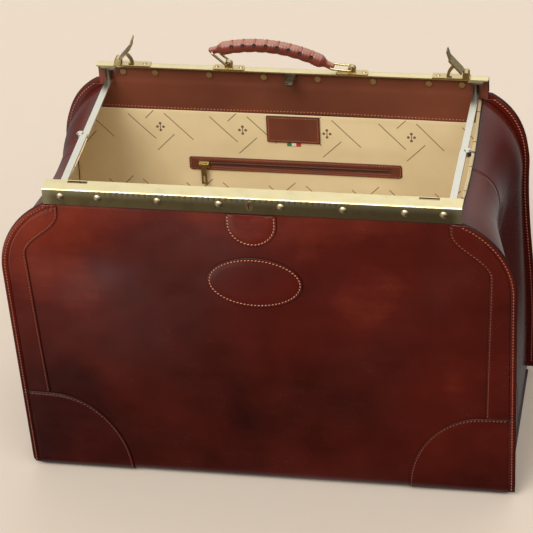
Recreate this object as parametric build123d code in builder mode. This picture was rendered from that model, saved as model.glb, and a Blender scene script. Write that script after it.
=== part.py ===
"""Large leather travel bag with a brass-plated hinged frame, standing open.

Millimetres, +Z up, +X along the frame, -Y the front. The origin is on the table under the middle
of the bag. Two leather panels stand on the front and back edges of the base and carry the two jaws
of the frame; folding stays hold the jaws apart, and soft gussets close the ends.
"""

from build123d import *
import os
from math import atan2, cos, degrees, hypot, radians, sin, sqrt

os.makedirs("parts", exist_ok=True)

FRONT = -1
BACK = 1
LEFT = -1
RIGHT = 1

# Overall sizes
bag_height = 366.0
frame_length = 420.0
frame_depth = 254.0
base_length = 518.0
base_depth = 228.0
shoulder_length = 526.0
shoulder_drop = 104.0
shoulder_radius = 94.0

# Materials
leather = 2.2
overlay = 1.4
lining = 0.8
lining_gap = 1.4
facing_thickness = 1.2
board = 2.0
base_leather_thickness = 3.0
gusset_leather = 2.0

# Clearances
panel_foot_gap = 0.6
edge_gap = 0.3
hinge_gap = 0.8
run_clearance = 0.15
close_gap = 0.6
link_gap = 0.6

# Jaws of the frame
jaw_height = 18.0
jaw_wall = 1.5
front_flange = 18.0
back_flange = 10.0
bend_radius = 2.2
rivet_drop = 9.0
rivet_dome_radius = 4.2
rivet_dome_height = 2.0
rivet_shank_radius = 1.4
rivet_washer_radius = 3.3
rivet_washer_thickness = 1.6
front_rivet_places = (31.0, 93.0, 154.0, 192.0)
back_rivet_places = (29.0, 88.0, 147.0, 182.0)

# Folding stays
stay_inset = 13.0
stay_width = 7.0
stay_thickness = 2.6
stay_end_radius = 4.2
stay_drop = 13.0
ear_radius = 4.0
ear_dome_height = 1.2
stay_pin_radius = 2.0
stay_pin_head_radius = 3.0
stay_pin_head_thickness = 1.4
stay_bush_radius = 3.0
stay_tab_length = 16.0
stay_tab_thickness = 2.0
stay_tab_reach = 3.2
front_pivot_depth = 10.5
back_pivot_depth = 10.0

# Latches
latch_inset = 23.5
latch_plate_length = 40.0
plate_thickness = 1.2
latch_axis_height = 3.6
latch_barrel_radius = 3.4
latch_pin_radius = 1.2
latch_lug = 2.4
latch_open_angle = 50.0
latch_arm_length = 26.0
latch_arm_thickness = 2.0
latch_reach = 5.4
claw_radius = 18.0
claw_width = 3.0
claw_thickness = 3.0
claw_sweep = 50.0
claw_nose = 2.6
claw_nose_sweep = 8.0
finger_length = 9.0
finger_lap = 1.0
finger_side_inset = 2.0
finger_slope = 0.5
finger_tip_half = 0.8
slot_length = 20.5
slot_width = 4.2

# Lock
lock_length = 34.0
lock_depth = 12.0
lock_height = 14.0
lock_wall = 1.2
tongue_width = 8.0
tongue_thickness = 2.0
tongue_drop = 7.5
tongue_reach = 12.5
bolt_width = 2.4
bolt_height = 5.0
bolt_length = 10.0
bolt_throw = 3.5
keyhole_width = 2.4
keyhole_height = 7.0
keyhole_round = 2.0
keyhole_rim_side = 1.8
keyhole_rim_end = 2.2
hasp_step = 1.0

# Handle
handle_spacing = 132.0
handle_plate_length = 34.0
plate_corner = 3.0
plate_rivet_inset = 4.0
plate_rivet_radius = 2.2
plate_rivet_height = 1.0
plate_rivet_taper = 35.0
handle_axis_height = 4.3
post_width = 8.0
post_thickness = 6.0
ring_reach = 22.5
ring_wire_radius = 1.3
ring_inner_width = 8.8
ring_corner = 2.2
left_ring_angle = 137.0
right_ring_angle = 175.0
grip_radius = 5.2
grip_end_radius = 3.9
grip_arch = 14.0
loop_slack = 3.4
loop_rise = 1.6
lace_count = 8
lace_radius = 1.1
lace_clearance = 0.05
lace_first_share = 0.2
lace_height_share = 0.72
lace_half_share = 0.6
grip_first_share = 0.07
grip_taper = 0.8
grip_overlap = 2.0
loop_run_in = 6.0
handle_set_in = 0.5

# Leather work on the panels
seam_lip = 8.0
foot_round = 10.0
strip_top_half = 197.0
strip_side_half = 236.0
strip_foot_half = 229.5
strip_step_inset = 29.0
strip_step_drop = 54.0
strip_step_pull = 0.4
patch_centre_half = 226.0
patch_width = 78.0
patch_height = 101.0
oval_length = 98.0
oval_width = 60.0
oval_drop = 100.0
tab_width = 52.0
tab_drop = 36.0
facing_drop = 34.0

# Pocket and label inside
zip_drop = 118.0
zip_frame_length = 235.0
zip_frame_width = 16.0
zip_frame_corner = 3.0
zip_slot_length = 212.0
zip_slot_width = 6.0
zip_frame_thickness = 1.2
tape_thickness = 0.6
teeth_width = 3.2
teeth_thickness = 1.2
slider_length = 12.0
slider_width = 8.0
puller_length = 24.0
puller_width = 6.0
puller_thickness = 2.4
puller_pin_radius = 0.6
puller_hole_radius = 0.7
slider_base = 1.4
slider_lug = 2.0
slider_lug_height = 3.0
puller_slot_place = 0.72
puller_slot_share = 0.4
pocket_length = 228.0
pocket_depth = 140.0
pocket_thickness = 1.2
label_length = 58.0
label_width = 32.0
label_corner = 1.5
ribbon_length = 15.0
ribbon_width = 5.0

# Worked-out places
shoulder_height = bag_height - shoulder_drop
frame_half = frame_length / 2
outer_y = frame_depth / 2
base_half_depth = base_depth / 2
flange_bottom = bag_height - jaw_wall
jaw_bottom = bag_height - jaw_height
rivet_z = bag_height - rivet_drop
hem_thickness = leather + lining
wall_inner_y = outer_y - jaw_wall
hem_inner_y = wall_inner_y - hem_thickness
foot_z = base_leather_thickness + panel_foot_gap
hem_bottom = jaw_bottom - hinge_gap
panel_top = hem_bottom - 2 * hinge_gap
panel_height = panel_top - foot_z
lean = degrees(atan2(wall_inner_y - base_half_depth, panel_height))

# Each jaw travels in until the two flanges meet with close_gap between them.
jaw_travel = (frame_depth - front_flange - back_flange - close_gap) / 2
front_pivot_y = -(outer_y - front_pivot_depth)
back_pivot_y = outer_y - back_pivot_depth
stay_x = frame_half - stay_inset
stay_length = (back_pivot_y - front_pivot_y) / 2
knuckle_y = (back_pivot_y + front_pivot_y) / 2
ear_offset = stay_length - jaw_travel
upper_stay_top = bag_height - stay_drop
lower_stay_top = upper_stay_top - stay_thickness - link_gap

flange_edge_y = outer_y - back_flange
latch_x = frame_half - latch_inset
latch_z = bag_height + plate_thickness + latch_axis_height
claw_y = flange_edge_y - latch_reach + claw_thickness / 2
slot_y = claw_y - 2 * jaw_travel
lock_front_y = -hem_inner_y
lock_rear_y = lock_front_y + lock_depth
tongue_tip_y = flange_edge_y - tongue_reach
notch_y = tongue_tip_y + bolt_width
bolt_y = notch_y - 2 * jaw_travel
tongue_z = bag_height - tongue_drop - tongue_thickness / 2

handle_x = handle_spacing / 2
handle_y = outer_y - back_flange / 2 - handle_set_in
handle_z = bag_height + plate_thickness + handle_axis_height


def save(piece, name):
    """Label a finished piece and write it as its own STEP file."""
    piece.part.label = name
    export_step(piece.part, f"parts/{name}.step")


def panel_plane(side):
    """The outer face of the front or back panel: local y runs up the panel, local z points out."""
    tilt = radians(lean)
    return Plane(
        origin=(0, side * base_half_depth, foot_z),
        x_dir=(-side, 0, 0),
        z_dir=(0, side * cos(tilt), -sin(tilt)),
    )


def outline_arc(inset):
    """Centre, radius and angles of the round shoulder of the panel's outline, moved in by inset."""
    run = (shoulder_length - base_length) / 2
    rise = shoulder_height - foot_z
    flare = atan2(run, rise)
    centre_x = shoulder_length / 2 - shoulder_radius * cos(flare)
    centre_y = rise + shoulder_radius * sin(flare)
    radius = shoulder_radius - inset
    return centre_x, centre_y, radius, flare


def outline(inset, top, foot, corner):
    """Face inside the panel's outline moved in by inset, cut level at the heights top and foot."""
    centre_x, centre_y, radius, flare = outline_arc(inset)
    turn = atan2(top - centre_y, sqrt(radius**2 - (top - centre_y) ** 2))
    shoulder = (centre_x + radius * cos(flare), centre_y - radius * sin(flare))
    middle_angle = (turn - flare) / 2
    middle = (centre_x + radius * cos(middle_angle), centre_y + radius * sin(middle_angle))
    end = (centre_x + radius * cos(turn), top)
    foot_x = shoulder[0] - (shoulder[1] - foot) * sin(flare) / cos(flare)
    with BuildSketch() as face:
        with BuildLine():
            Line((0, foot), (foot_x, foot))
            Line((foot_x, foot), shoulder)
            ThreePointArc(shoulder, middle, end)
            Line(end, (0, top))
            Line((0, top), (0, foot))
        make_face()
        mirror(about=Plane.YZ)
        if corner:
            fillet(face.vertices().group_by(Axis.Y)[0], radius=corner)
    return face.sketch


def make_panel(side, name):
    """Leather panel with its seam edges standing past the gussets."""
    with BuildPart() as panel:
        with BuildSketch(panel_plane(side)):
            add(outline(0, panel_height, 0, foot_round))
        extrude(amount=-leather)
    save(panel, name)


def make_panel_lining(side, name):
    """Cloth lining held a little off the leather, inside the gussets and below the facing."""
    inset = seam_lip + gusset_leather + lining + edge_gap
    foot = base_leather_thickness + board + lining + hinge_gap - foot_z
    top = panel_height - facing_drop - edge_gap
    with BuildPart() as cloth:
        with BuildSketch(panel_plane(side).offset(-leather - lining_gap)):
            add(outline(inset, top, foot, 0))
        extrude(amount=-lining)
    save(cloth, name)


def make_facing(side, name):
    """Leather band inside the mouth of the bag, below the jaw."""
    with BuildPart() as band:
        with BuildSketch(panel_plane(side).offset(-leather)):
            with Locations((0, panel_height - facing_drop / 2)):
                Rectangle(frame_length - 2 * edge_gap, facing_drop)
        extrude(amount=-facing_thickness)
    save(band, name)


def make_side_strip(side, hand, name):
    """Overlay strip along a panel's side seam, stepping in below the jaw."""
    sign = -side * hand
    top = panel_height
    step_top = bag_height - strip_step_inset - foot_z
    step_foot = step_top - strip_step_drop
    foot = patch_height + edge_gap
    far = shoulder_length
    pull = strip_step_drop * strip_step_pull
    with BuildPart() as strip:
        with BuildSketch(panel_plane(side)):
            with BuildLine():
                Line((sign * strip_top_half, top), (sign * strip_top_half, step_top))
                Bezier(
                    (sign * strip_top_half, step_top),
                    (sign * strip_top_half, step_top - pull),
                    (sign * strip_side_half, step_foot + pull),
                    (sign * strip_side_half, step_foot),
                )
                Line((sign * strip_side_half, step_foot), (sign * strip_foot_half, foot))
                Polyline(
                    (sign * strip_foot_half, foot),
                    (sign * far, foot),
                    (sign * far, top),
                    (sign * strip_top_half, top),
                )
            make_face()
            add(outline(0, panel_height, 0, foot_round), mode=Mode.INTERSECT)
        extrude(amount=overlay)
    save(strip, name)


def make_corner_patch(side, hand, name):
    """Overlay patch on a bottom corner: a quarter ellipse run out to the side."""
    sign = -side * hand
    side_run = base_length
    with BuildPart() as patch:
        with BuildSketch(panel_plane(side)):
            with Locations((sign * patch_centre_half, 0)):
                Ellipse(patch_width, patch_height)
            with Locations((sign * (patch_centre_half + side_run / 2), patch_height / 2)):
                Rectangle(side_run, patch_height)
            add(outline(0, panel_height, 0, foot_round), mode=Mode.INTERSECT)
        extrude(amount=overlay)
    save(patch, name)


def make_gusset(hand, inset, thickness, foot, end_gap, name):
    """End wall that follows the panels' outline from the base to just under the frame."""
    top = panel_height - stay_drop
    with BuildPart() as wall:
        with BuildSketch(Plane.XZ):
            with Locations((0, foot_z)):
                add(outline(inset, top, foot - foot_z, 0))
                add(outline(inset + thickness, top, foot - foot_z, 0), mode=Mode.SUBTRACT)
            with Locations((-hand * base_length / 2, bag_height / 2)):
                Rectangle(base_length, 2 * bag_height, mode=Mode.SUBTRACT)
        extrude(amount=base_depth, both=True)
        for side in (FRONT, BACK):
            split(bisect_by=panel_plane(side).offset(-leather - end_gap), keep=Keep.BOTTOM)
    save(wall, name)


def rivet_points(places):
    """Both mirrored places of each rivet along a jaw."""
    return [(hand * place, rivet_z) for place in places for hand in (LEFT, RIGHT)]


def make_jaw_bar(side, flange, places, name):
    """Angle-section jaw: a level top flange and an outer wall drilled for its rivets."""
    with BuildPart() as bar:
        with BuildSketch(Plane.YZ.offset(-frame_half)):
            with BuildLine():
                Polyline(
                    (side * outer_y, bag_height),
                    (side * (outer_y - flange), bag_height),
                    (side * (outer_y - flange), flange_bottom),
                    (side * wall_inner_y, flange_bottom),
                    (side * wall_inner_y, jaw_bottom),
                    (side * outer_y, jaw_bottom),
                    close=True,
                )
            make_face()
        extrude(amount=frame_length)
        bend = bar.edges().filter_by(Axis.X).group_by(Axis.Z)[-1].sort_by(Axis.Y)
        fillet(bend[-1] if side == BACK else bend[0], radius=bend_radius)
        with BuildSketch(Plane.XZ.offset(-side * outer_y)):
            with Locations(*rivet_points(places)):
                Circle(rivet_shank_radius)
        extrude(amount=2 * jaw_wall, both=True, mode=Mode.SUBTRACT)
        if side == FRONT:
            with BuildSketch(Plane.XZ.offset(outer_y)):
                add(keyhole())
            extrude(amount=2 * jaw_wall, both=True, mode=Mode.SUBTRACT)
            slot_centre = latch_x - slot_length / 2 + edge_gap
            with BuildSketch(Plane.XY.offset(bag_height)):
                with Locations((-slot_centre, slot_y), (slot_centre, slot_y)):
                    Rectangle(slot_length, slot_width)
            extrude(amount=-2 * jaw_wall, mode=Mode.SUBTRACT)
    save(bar, name)


def make_top_hem(side, places, name):
    """Top edge of the panel's leather and facing, clamped against the jaw by the rivets."""
    top = flange_bottom - edge_gap
    with BuildPart() as hem:
        with BuildSketch(Plane.XZ.offset(-side * wall_inner_y)):
            with Locations((0, (top + hem_bottom) / 2)):
                Rectangle(frame_length - 2 * edge_gap, top - hem_bottom)
            with Locations(*rivet_points(places)):
                Circle(rivet_shank_radius, mode=Mode.SUBTRACT)
            if side == FRONT:
                add(keyhole(), mode=Mode.SUBTRACT)
        extrude(amount=side * hem_thickness)
    save(hem, name)


def make_rivets(side, places, name):
    """Domed rivets through jaw, leather and facing, with flat heads inside."""
    grip = jaw_wall + hem_thickness
    with BuildPart() as rivets:
        with Locations(*[(x, side * outer_y, z) for x, z in rivet_points(places)]):
            with Locations(Rotation(-side * 90, 0, 0)):
                add(one_rivet(grip))
    save(rivets, name)


def one_rivet(grip):
    """A rivet along Z: dome above z = 0, shank through the grip, flat head below."""
    dome_radius = (rivet_dome_radius**2 + rivet_dome_height**2) / (2 * rivet_dome_height)
    half_width = rivet_dome_radius / sqrt(2)
    half_rise = rivet_dome_height - dome_radius + sqrt(dome_radius**2 - half_width**2)
    with BuildPart(mode=Mode.PRIVATE) as rivet:
        with BuildSketch(Plane.XZ):
            with BuildLine():
                ThreePointArc(
                    (0, rivet_dome_height), (half_width, half_rise), (rivet_dome_radius, 0)
                )
                Polyline(
                    (rivet_dome_radius, 0),
                    (rivet_shank_radius, 0),
                    (rivet_shank_radius, -grip),
                    (rivet_washer_radius, -grip),
                    (rivet_washer_radius, -grip - rivet_washer_thickness),
                    (0, -grip - rivet_washer_thickness),
                    (0, rivet_dome_height),
                )
            make_face()
        revolve(axis=Axis.Z)
    return rivet.part


def keyhole():
    """Keyhole outline about the lock's height on the front jaw: a round eye over a narrow slot."""
    with BuildSketch(mode=Mode.PRIVATE) as hole:
        with Locations((0, rivet_z + keyhole_height / 2 - keyhole_round)):
            Circle(keyhole_round)
        with Locations((0, rivet_z)):
            Rectangle(keyhole_width, keyhole_height)
    return hole.sketch


def make_stay_tabs(side, pivot_y, link_top, name):
    """Steel tabs under a jaw's flange, one at each end, with a bush down to the stay link."""
    reach_out = hem_inner_y - edge_gap - abs(pivot_y)
    reach_in = stay_tab_reach
    with BuildPart() as tabs:
        for hand in (LEFT, RIGHT):
            with BuildSketch(Plane.XY.offset(flange_bottom)):
                with Locations((hand * stay_x, pivot_y + side * (reach_out - reach_in) / 2)):
                    Rectangle(stay_tab_length, reach_out + reach_in)
            extrude(amount=-stay_tab_thickness)
            with BuildSketch(Plane.XY.offset(flange_bottom)):
                with Locations((hand * stay_x, pivot_y)):
                    Circle(stay_bush_radius)
            extrude(amount=link_top + run_clearance - flange_bottom)
            with BuildSketch(Plane.XY.offset(flange_bottom)):
                with Locations((hand * stay_x, pivot_y)):
                    Circle(stay_pin_radius)
            extrude(amount=link_top - flange_bottom, mode=Mode.SUBTRACT)
    save(tabs, name)


def make_stay_pins(pivot_y, link_top, name):
    """Headed pins that carry the stay links under a jaw."""
    head_top = link_top - stay_thickness - run_clearance
    with BuildPart() as pins:
        for hand in (LEFT, RIGHT):
            with BuildSketch(Plane.XY.offset(flange_bottom)):
                with Locations((hand * stay_x, pivot_y)):
                    Circle(stay_pin_radius)
            extrude(amount=head_top - flange_bottom)
            with BuildSketch(Plane.XY.offset(head_top)):
                with Locations((hand * stay_x, pivot_y)):
                    Circle(stay_pin_head_radius)
            extrude(amount=-stay_pin_head_thickness)
    save(pins, name)


def make_stay_link(side, hand, name):
    """Flat half of a folding stay: round at its jaw pivot, with a knuckle ear on its outer edge."""
    pivot_y = front_pivot_y if side == FRONT else back_pivot_y
    top = upper_stay_top if side == FRONT else lower_stay_top
    to_knuckle = -side
    ear = (hand * (stay_x + ear_offset), knuckle_y)
    with BuildPart() as link:
        with BuildSketch(Plane.XY.offset(top)):
            with Locations((hand * stay_x, pivot_y)):
                Circle(stay_end_radius)
            with Locations((hand * stay_x, pivot_y + to_knuckle * stay_length / 2)):
                Rectangle(stay_width, stay_length)
            with Locations(ear):
                Circle(ear_radius)
            with Locations((hand * stay_x, pivot_y)):
                Circle(stay_pin_radius + run_clearance, mode=Mode.SUBTRACT)
        extrude(amount=-stay_thickness)
        dome_z = top if side == FRONT else top - stay_thickness
        with BuildSketch(Plane.XY.offset(dome_z)):
            with Locations(ear):
                Circle(ear_radius - 2 * edge_gap)
        extrude(amount=-side * ear_dome_height, taper=30)
    save(link, name)


def make_latch_plates():
    """Base plates of the latches on the back jaw, each with two lugs for the lever's pin."""
    with BuildPart() as plates:
        for hand in (LEFT, RIGHT):
            near = latch_x + latch_barrel_radius + latch_pin_radius
            middle_x = hand * (near - latch_plate_length / 2)
            with BuildSketch(Plane.XY.offset(bag_height)):
                with Locations((middle_x, outer_y - back_flange / 2)):
                    Rectangle(latch_plate_length, back_flange)
            extrude(amount=plate_thickness)
            for lug_y in (flange_edge_y, outer_y - latch_lug):
                with BuildSketch(Plane.XZ.offset(-lug_y)):
                    with Locations((hand * latch_x, latch_z)):
                        Circle(latch_barrel_radius)
                    with Locations((hand * latch_x, latch_z - latch_axis_height / 2)):
                        Rectangle(2 * latch_barrel_radius, latch_axis_height)
                    with Locations((hand * latch_x, latch_z)):
                        Circle(latch_pin_radius, mode=Mode.SUBTRACT)
                extrude(amount=-latch_lug)
    save(plates, "latch_plates")


def make_latch_pins():
    """Plain pins through the lugs and barrels of the two latches."""
    with BuildPart() as pins:
        with BuildSketch(Plane.XZ.offset(-flange_edge_y)):
            with Locations((-latch_x, latch_z), (latch_x, latch_z)):
                Circle(latch_pin_radius)
        extrude(amount=-back_flange)
    save(pins, "latch_pins")


def make_latch_lever(hand, name):
    """Lever standing open: barrel, flat arm, upturned finger tip and the curved claw in front."""
    open_turn = radians(latch_open_angle)
    barrel_near = flange_edge_y + latch_lug + run_clearance
    barrel_far = outer_y - latch_lug - run_clearance
    front_y = flange_edge_y - latch_reach
    back_y = outer_y - latch_pin_radius
    clear_of_lugs = latch_barrel_radius + 2 * run_clearance + latch_arm_thickness

    def across(y):
        """Plane square to the pin at y: local x runs along the open arm, local z runs to +Y."""
        inward = (-hand * cos(open_turn), 0, sin(open_turn))
        return Plane(origin=(hand * latch_x, y, latch_z), x_dir=inward, z_dir=(0, 1, 0))

    # On the left latch local y points down past the closing side; on the right it points up.
    down = 1 if hand == LEFT else -1
    claw_outer = claw_radius + claw_width / 2
    claw_inner = claw_radius - claw_width / 2
    nose_start = claw_sweep - claw_nose_sweep
    finger_end = latch_arm_length + finger_length
    finger_rise = -down * finger_length * finger_slope
    with BuildPart() as lever:
        with BuildSketch(across(barrel_near)):
            Circle(latch_barrel_radius)
            Rectangle(
                clear_of_lugs + 2 * finger_lap,
                latch_arm_thickness,
                align=(Align.MIN, Align.CENTER),
            )
            Circle(latch_pin_radius + run_clearance, mode=Mode.SUBTRACT)
        extrude(amount=barrel_far - barrel_near)
        with BuildSketch(across(front_y)):
            with Locations(((clear_of_lugs + latch_arm_length) / 2, 0)):
                Rectangle(latch_arm_length - clear_of_lugs, latch_arm_thickness)
        extrude(amount=back_y - front_y)
        with BuildSketch(across(front_y + finger_side_inset)):
            with BuildLine():
                Polyline(
                    (latch_arm_length - finger_lap, -latch_arm_thickness / 2),
                    (latch_arm_length - finger_lap, latch_arm_thickness / 2),
                    (finger_end, finger_rise + finger_tip_half),
                    (finger_end, finger_rise - finger_tip_half),
                    close=True,
                )
            make_face()
        extrude(amount=back_y - front_y - 2 * finger_side_inset)
        with BuildSketch(across(front_y)):
            with BuildLine():
                CenterArc((0, 0), claw_outer, 0, down * claw_sweep)
                CenterArc((0, 0), claw_inner - claw_nose, down * nose_start, down * claw_nose_sweep)
                CenterArc((0, 0), claw_inner, 0, down * nose_start)
                turn = radians(down * claw_sweep)
                back_turn = radians(down * nose_start)
                Line((claw_inner, 0), (claw_outer, 0))
                Line(
                    (claw_inner * cos(back_turn), claw_inner * sin(back_turn)),
                    (
                        (claw_inner - claw_nose) * cos(back_turn),
                        (claw_inner - claw_nose) * sin(back_turn),
                    ),
                )
                Line(
                    ((claw_inner - claw_nose) * cos(turn), (claw_inner - claw_nose) * sin(turn)),
                    (claw_outer * cos(turn), claw_outer * sin(turn)),
                )
            make_face()
        extrude(amount=claw_thickness)
    save(lever, name)


def make_lock_case():
    """Lock box behind the front jaw, open at the rear for the tongue, with its key opening."""
    with BuildPart() as case:
        with BuildSketch(Plane.XY.offset(flange_bottom)):
            with Locations((0, (lock_front_y + lock_rear_y) / 2)):
                Rectangle(lock_length, lock_depth)
        extrude(amount=-lock_height)
        with BuildSketch(Plane.XY.offset(flange_bottom - lock_wall)):
            with Locations((0, (lock_front_y + lock_rear_y) / 2)):
                Rectangle(lock_length - 2 * lock_wall, lock_depth - 2 * lock_wall)
        extrude(amount=-(lock_height - 2 * lock_wall), mode=Mode.SUBTRACT)
        with BuildSketch(Plane.XZ.offset(-lock_rear_y)):
            with Locations((0, tongue_z)):
                Rectangle(tongue_width + 4 * edge_gap, tongue_thickness + 4 * edge_gap)
        extrude(amount=2 * lock_wall, both=True, mode=Mode.SUBTRACT)
        with BuildSketch(Plane.XZ.offset(-lock_front_y)):
            add(keyhole())
        extrude(amount=-2 * lock_wall, both=True, mode=Mode.SUBTRACT)
    save(case, "lock_case")


def make_lock_bolt():
    """Bolt that slides along the case into the notch of the tongue."""
    tip_x = -tongue_width / 2 - edge_gap
    with BuildPart() as bolt:
        with BuildSketch(Plane.XY.offset(tongue_z - bolt_height / 2)):
            with Locations((tip_x - bolt_length / 2, bolt_y)):
                Rectangle(bolt_length, bolt_width)
        extrude(amount=bolt_height)
    save(bolt, "lock_bolt")


def make_lock_hasp():
    """Plate hanging from the back flange, with a tongue that enters the lock when the bag shuts."""
    hanger = tongue_thickness
    hanger_y = flange_edge_y + hasp_step
    with BuildPart() as hasp:
        with BuildSketch(Plane.XZ.offset(-hanger_y)):
            with Locations((0, (flange_bottom + tongue_z - tongue_thickness / 2) / 2)):
                Rectangle(
                    tongue_width + 2 * tongue_thickness,
                    flange_bottom - tongue_z + tongue_thickness / 2,
                )
        extrude(amount=-hanger)
        with BuildSketch(Plane.XY.offset(tongue_z - tongue_thickness / 2)):
            with Locations((0, (hanger_y + tongue_tip_y) / 2)):
                Rectangle(tongue_width, hanger_y - tongue_tip_y)
            with Locations((-tongue_width / 2 + bolt_throw / 2 - edge_gap / 2, notch_y)):
                Rectangle(
                    bolt_throw + edge_gap, bolt_width + 2 * edge_gap, mode=Mode.SUBTRACT
                )
        extrude(amount=tongue_thickness)
    save(hasp, "lock_hasp")


def make_keyhole_plate():
    """Raised oval rim round the keyhole on the face of the front jaw."""
    with BuildPart() as plate:
        with BuildSketch(Plane.XZ.offset(outer_y)):
            with Locations((0, rivet_z)):
                Ellipse(keyhole_round + keyhole_rim_side, keyhole_height / 2 + keyhole_rim_end)
            add(keyhole(), mode=Mode.SUBTRACT)
        extrude(amount=plate_thickness / 2)
    save(plate, "keyhole_plate")


def make_handle_posts():
    """Base plates on the back jaw with an upright eye for each wire ring."""
    with BuildPart() as posts:
        for hand in (LEFT, RIGHT):
            with BuildSketch(Plane.XY.offset(bag_height)):
                with Locations((hand * handle_x, outer_y - back_flange / 2)):
                    RectangleRounded(handle_plate_length, back_flange, plate_corner)
            extrude(amount=plate_thickness)
            with BuildSketch(Plane.XZ.offset(-(handle_y - post_thickness / 2))):
                with Locations((hand * handle_x, handle_z)):
                    Circle(post_width / 2)
                with Locations((hand * handle_x, (bag_height + handle_z) / 2)):
                    Rectangle(post_width, handle_z - bag_height)
                with Locations((hand * handle_x, handle_z)):
                    Circle(ring_wire_radius + 2 * run_clearance, mode=Mode.SUBTRACT)
            extrude(amount=-post_thickness)
    save(posts, "handle_posts")


def make_plate_rivets():
    """Small domed rivets that hold the latch and handle plates to the back flange."""
    reach = handle_plate_length / 2 - plate_rivet_inset
    places = [hand * handle_x + step for hand in (LEFT, RIGHT) for step in (-reach, reach)]
    latch_plate_end = latch_x - latch_plate_length + 2 * latch_barrel_radius
    latch_rivet_x = latch_plate_end + plate_rivet_inset
    places += [-latch_rivet_x, latch_rivet_x]
    with BuildPart() as rivets:
        for place in places:
            with BuildSketch(Plane.XY.offset(bag_height + plate_thickness)):
                with Locations((place, outer_y - back_flange / 2)):
                    Circle(plate_rivet_radius)
            extrude(amount=plate_rivet_height, taper=plate_rivet_taper)
    save(rivets, "plate_rivets")


def ring_plane(hand):
    """Plane of a handle ring: the origin on its hinge axis, local x along the ring."""
    turn = radians(left_ring_angle if hand == LEFT else right_ring_angle)
    return Plane(
        origin=(hand * handle_x, handle_y, handle_z),
        x_dir=(cos(turn), 0, sin(turn)),
        z_dir=(sin(turn), 0, -cos(turn)),
    )


def make_handle_ring(hand, name):
    """Wire loop between a post's eye and the end of the handle."""
    reach = ring_reach
    half = ring_inner_width / 2 + ring_wire_radius
    with BuildPart() as ring:
        with BuildLine(ring_plane(hand)):
            loop = FilletPolyline(
                (0, half), (reach, half), (reach, -half), (0, -half), radius=ring_corner, close=True
            )
        with BuildSketch(Plane(origin=loop @ 0, z_dir=loop % 0)):
            Circle(ring_wire_radius)
        sweep()
    save(ring, name)


def ring_end(hand):
    """Far end of a handle ring, as x and z."""
    turn = radians(left_ring_angle if hand == LEFT else right_ring_angle)
    return hand * handle_x + ring_reach * cos(turn), handle_z + ring_reach * sin(turn)


def grip_frame():
    """Plane of the handle: the origin at its left ring, local x along it to the right ring."""
    left_x, left_z = ring_end(LEFT)
    right_x, right_z = ring_end(RIGHT)
    along = (right_x - left_x, 0, right_z - left_z)
    return Plane(origin=(left_x, handle_y, left_z), x_dir=along, z_dir=(0, -1, 0))


def grip_centre(share):
    """Point of the handle's centre line, in the handle's plane, at a share of its span."""
    left_x, left_z = ring_end(LEFT)
    right_x, right_z = ring_end(RIGHT)
    span = hypot(right_x - left_x, right_z - left_z)
    return share * span, grip_arch * 4 * share * (1 - share)


def make_handle_grip():
    """Arched leather grip with a loop at each end; the right loop is long, for the free ring."""
    start = grip_centre(grip_first_share)
    middle = grip_centre(0.5)
    end = grip_centre(1 - grip_first_share)
    hole = ring_wire_radius + 2 * run_clearance
    span = grip_centre(1)[0]
    loop_half = ring_inner_width / 2 - 4 * edge_gap
    frame = grip_frame()
    with BuildPart() as grip:
        with BuildLine(frame):
            path = ThreePointArc(start, middle, end)
        with BuildSketch(Plane(origin=path @ 0, x_dir=(0, 1, 0), z_dir=path % 0)):
            Circle(grip_radius * grip_taper)
        with BuildSketch(Plane(origin=path @ 0.5, x_dir=(0, 1, 0), z_dir=path % 0.5)):
            Circle(grip_radius)
        with BuildSketch(Plane(origin=path @ 1, x_dir=(0, 1, 0), z_dir=path % 1)):
            Circle(grip_radius * grip_taper)
        sweep(path=path, multisection=True)
        with BuildSketch(frame.offset(-loop_half)):
            Circle(grip_end_radius)
            Rectangle(
                start[0] + grip_overlap, 2 * grip_end_radius, align=(Align.MIN, Align.CENTER)
            )
            with Locations((span, 0)):
                Circle(grip_end_radius)
            with Locations((span - loop_slack - loop_run_in, 0)):
                Rectangle(
                    loop_slack + loop_run_in,
                    2 * grip_end_radius,
                    align=(Align.MIN, Align.CENTER),
                )
        extrude(amount=2 * loop_half)
        with BuildSketch(frame.offset(-loop_half)):
            Circle(hole)
            with Locations((span, 0), (span - loop_slack, 0), (span - loop_slack, loop_rise)):
                Circle(hole)
            with Locations((span - loop_slack / 2, loop_rise / 2)):
                Rectangle(loop_slack, 2 * hole + loop_rise)
        extrude(amount=2 * loop_half, mode=Mode.SUBTRACT)
        for x, y in lace_points():
            with BuildSketch(frame.offset(-grip_radius)):
                with Locations((x, y)):
                    Circle(lace_radius + lace_clearance)
            extrude(amount=2 * grip_radius, mode=Mode.SUBTRACT)
    save(grip, "handle_grip")


def lace_points():
    """Places of the lacing along the crown of the grip, in the handle's plane."""
    spread = 1 - 2 * lace_first_share
    shares = [lace_first_share + spread * step / (lace_count - 1) for step in range(lace_count)]
    rise = grip_radius * lace_height_share
    return [(grip_centre(s)[0], grip_centre(s)[1] + rise) for s in shares]


def make_handle_lacing():
    """Thong laced across the crown of the grip, one short length in each groove."""
    with BuildPart() as lacing:
        for x, y in lace_points():
            with BuildSketch(grip_frame().offset(-grip_radius * lace_half_share)):
                with Locations((x, y)):
                    Circle(lace_radius)
            extrude(amount=2 * grip_radius * lace_half_share)
    save(lacing, "handle_lacing")


def pocket_plane(depth):
    """Plane parallel to the back panel, depth behind its outer face, centred on the zip."""
    wall = panel_plane(BACK).offset(-depth)
    wall.origin = wall.from_local_coords((0, bag_height - zip_drop - foot_z, 0))
    return wall


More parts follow.
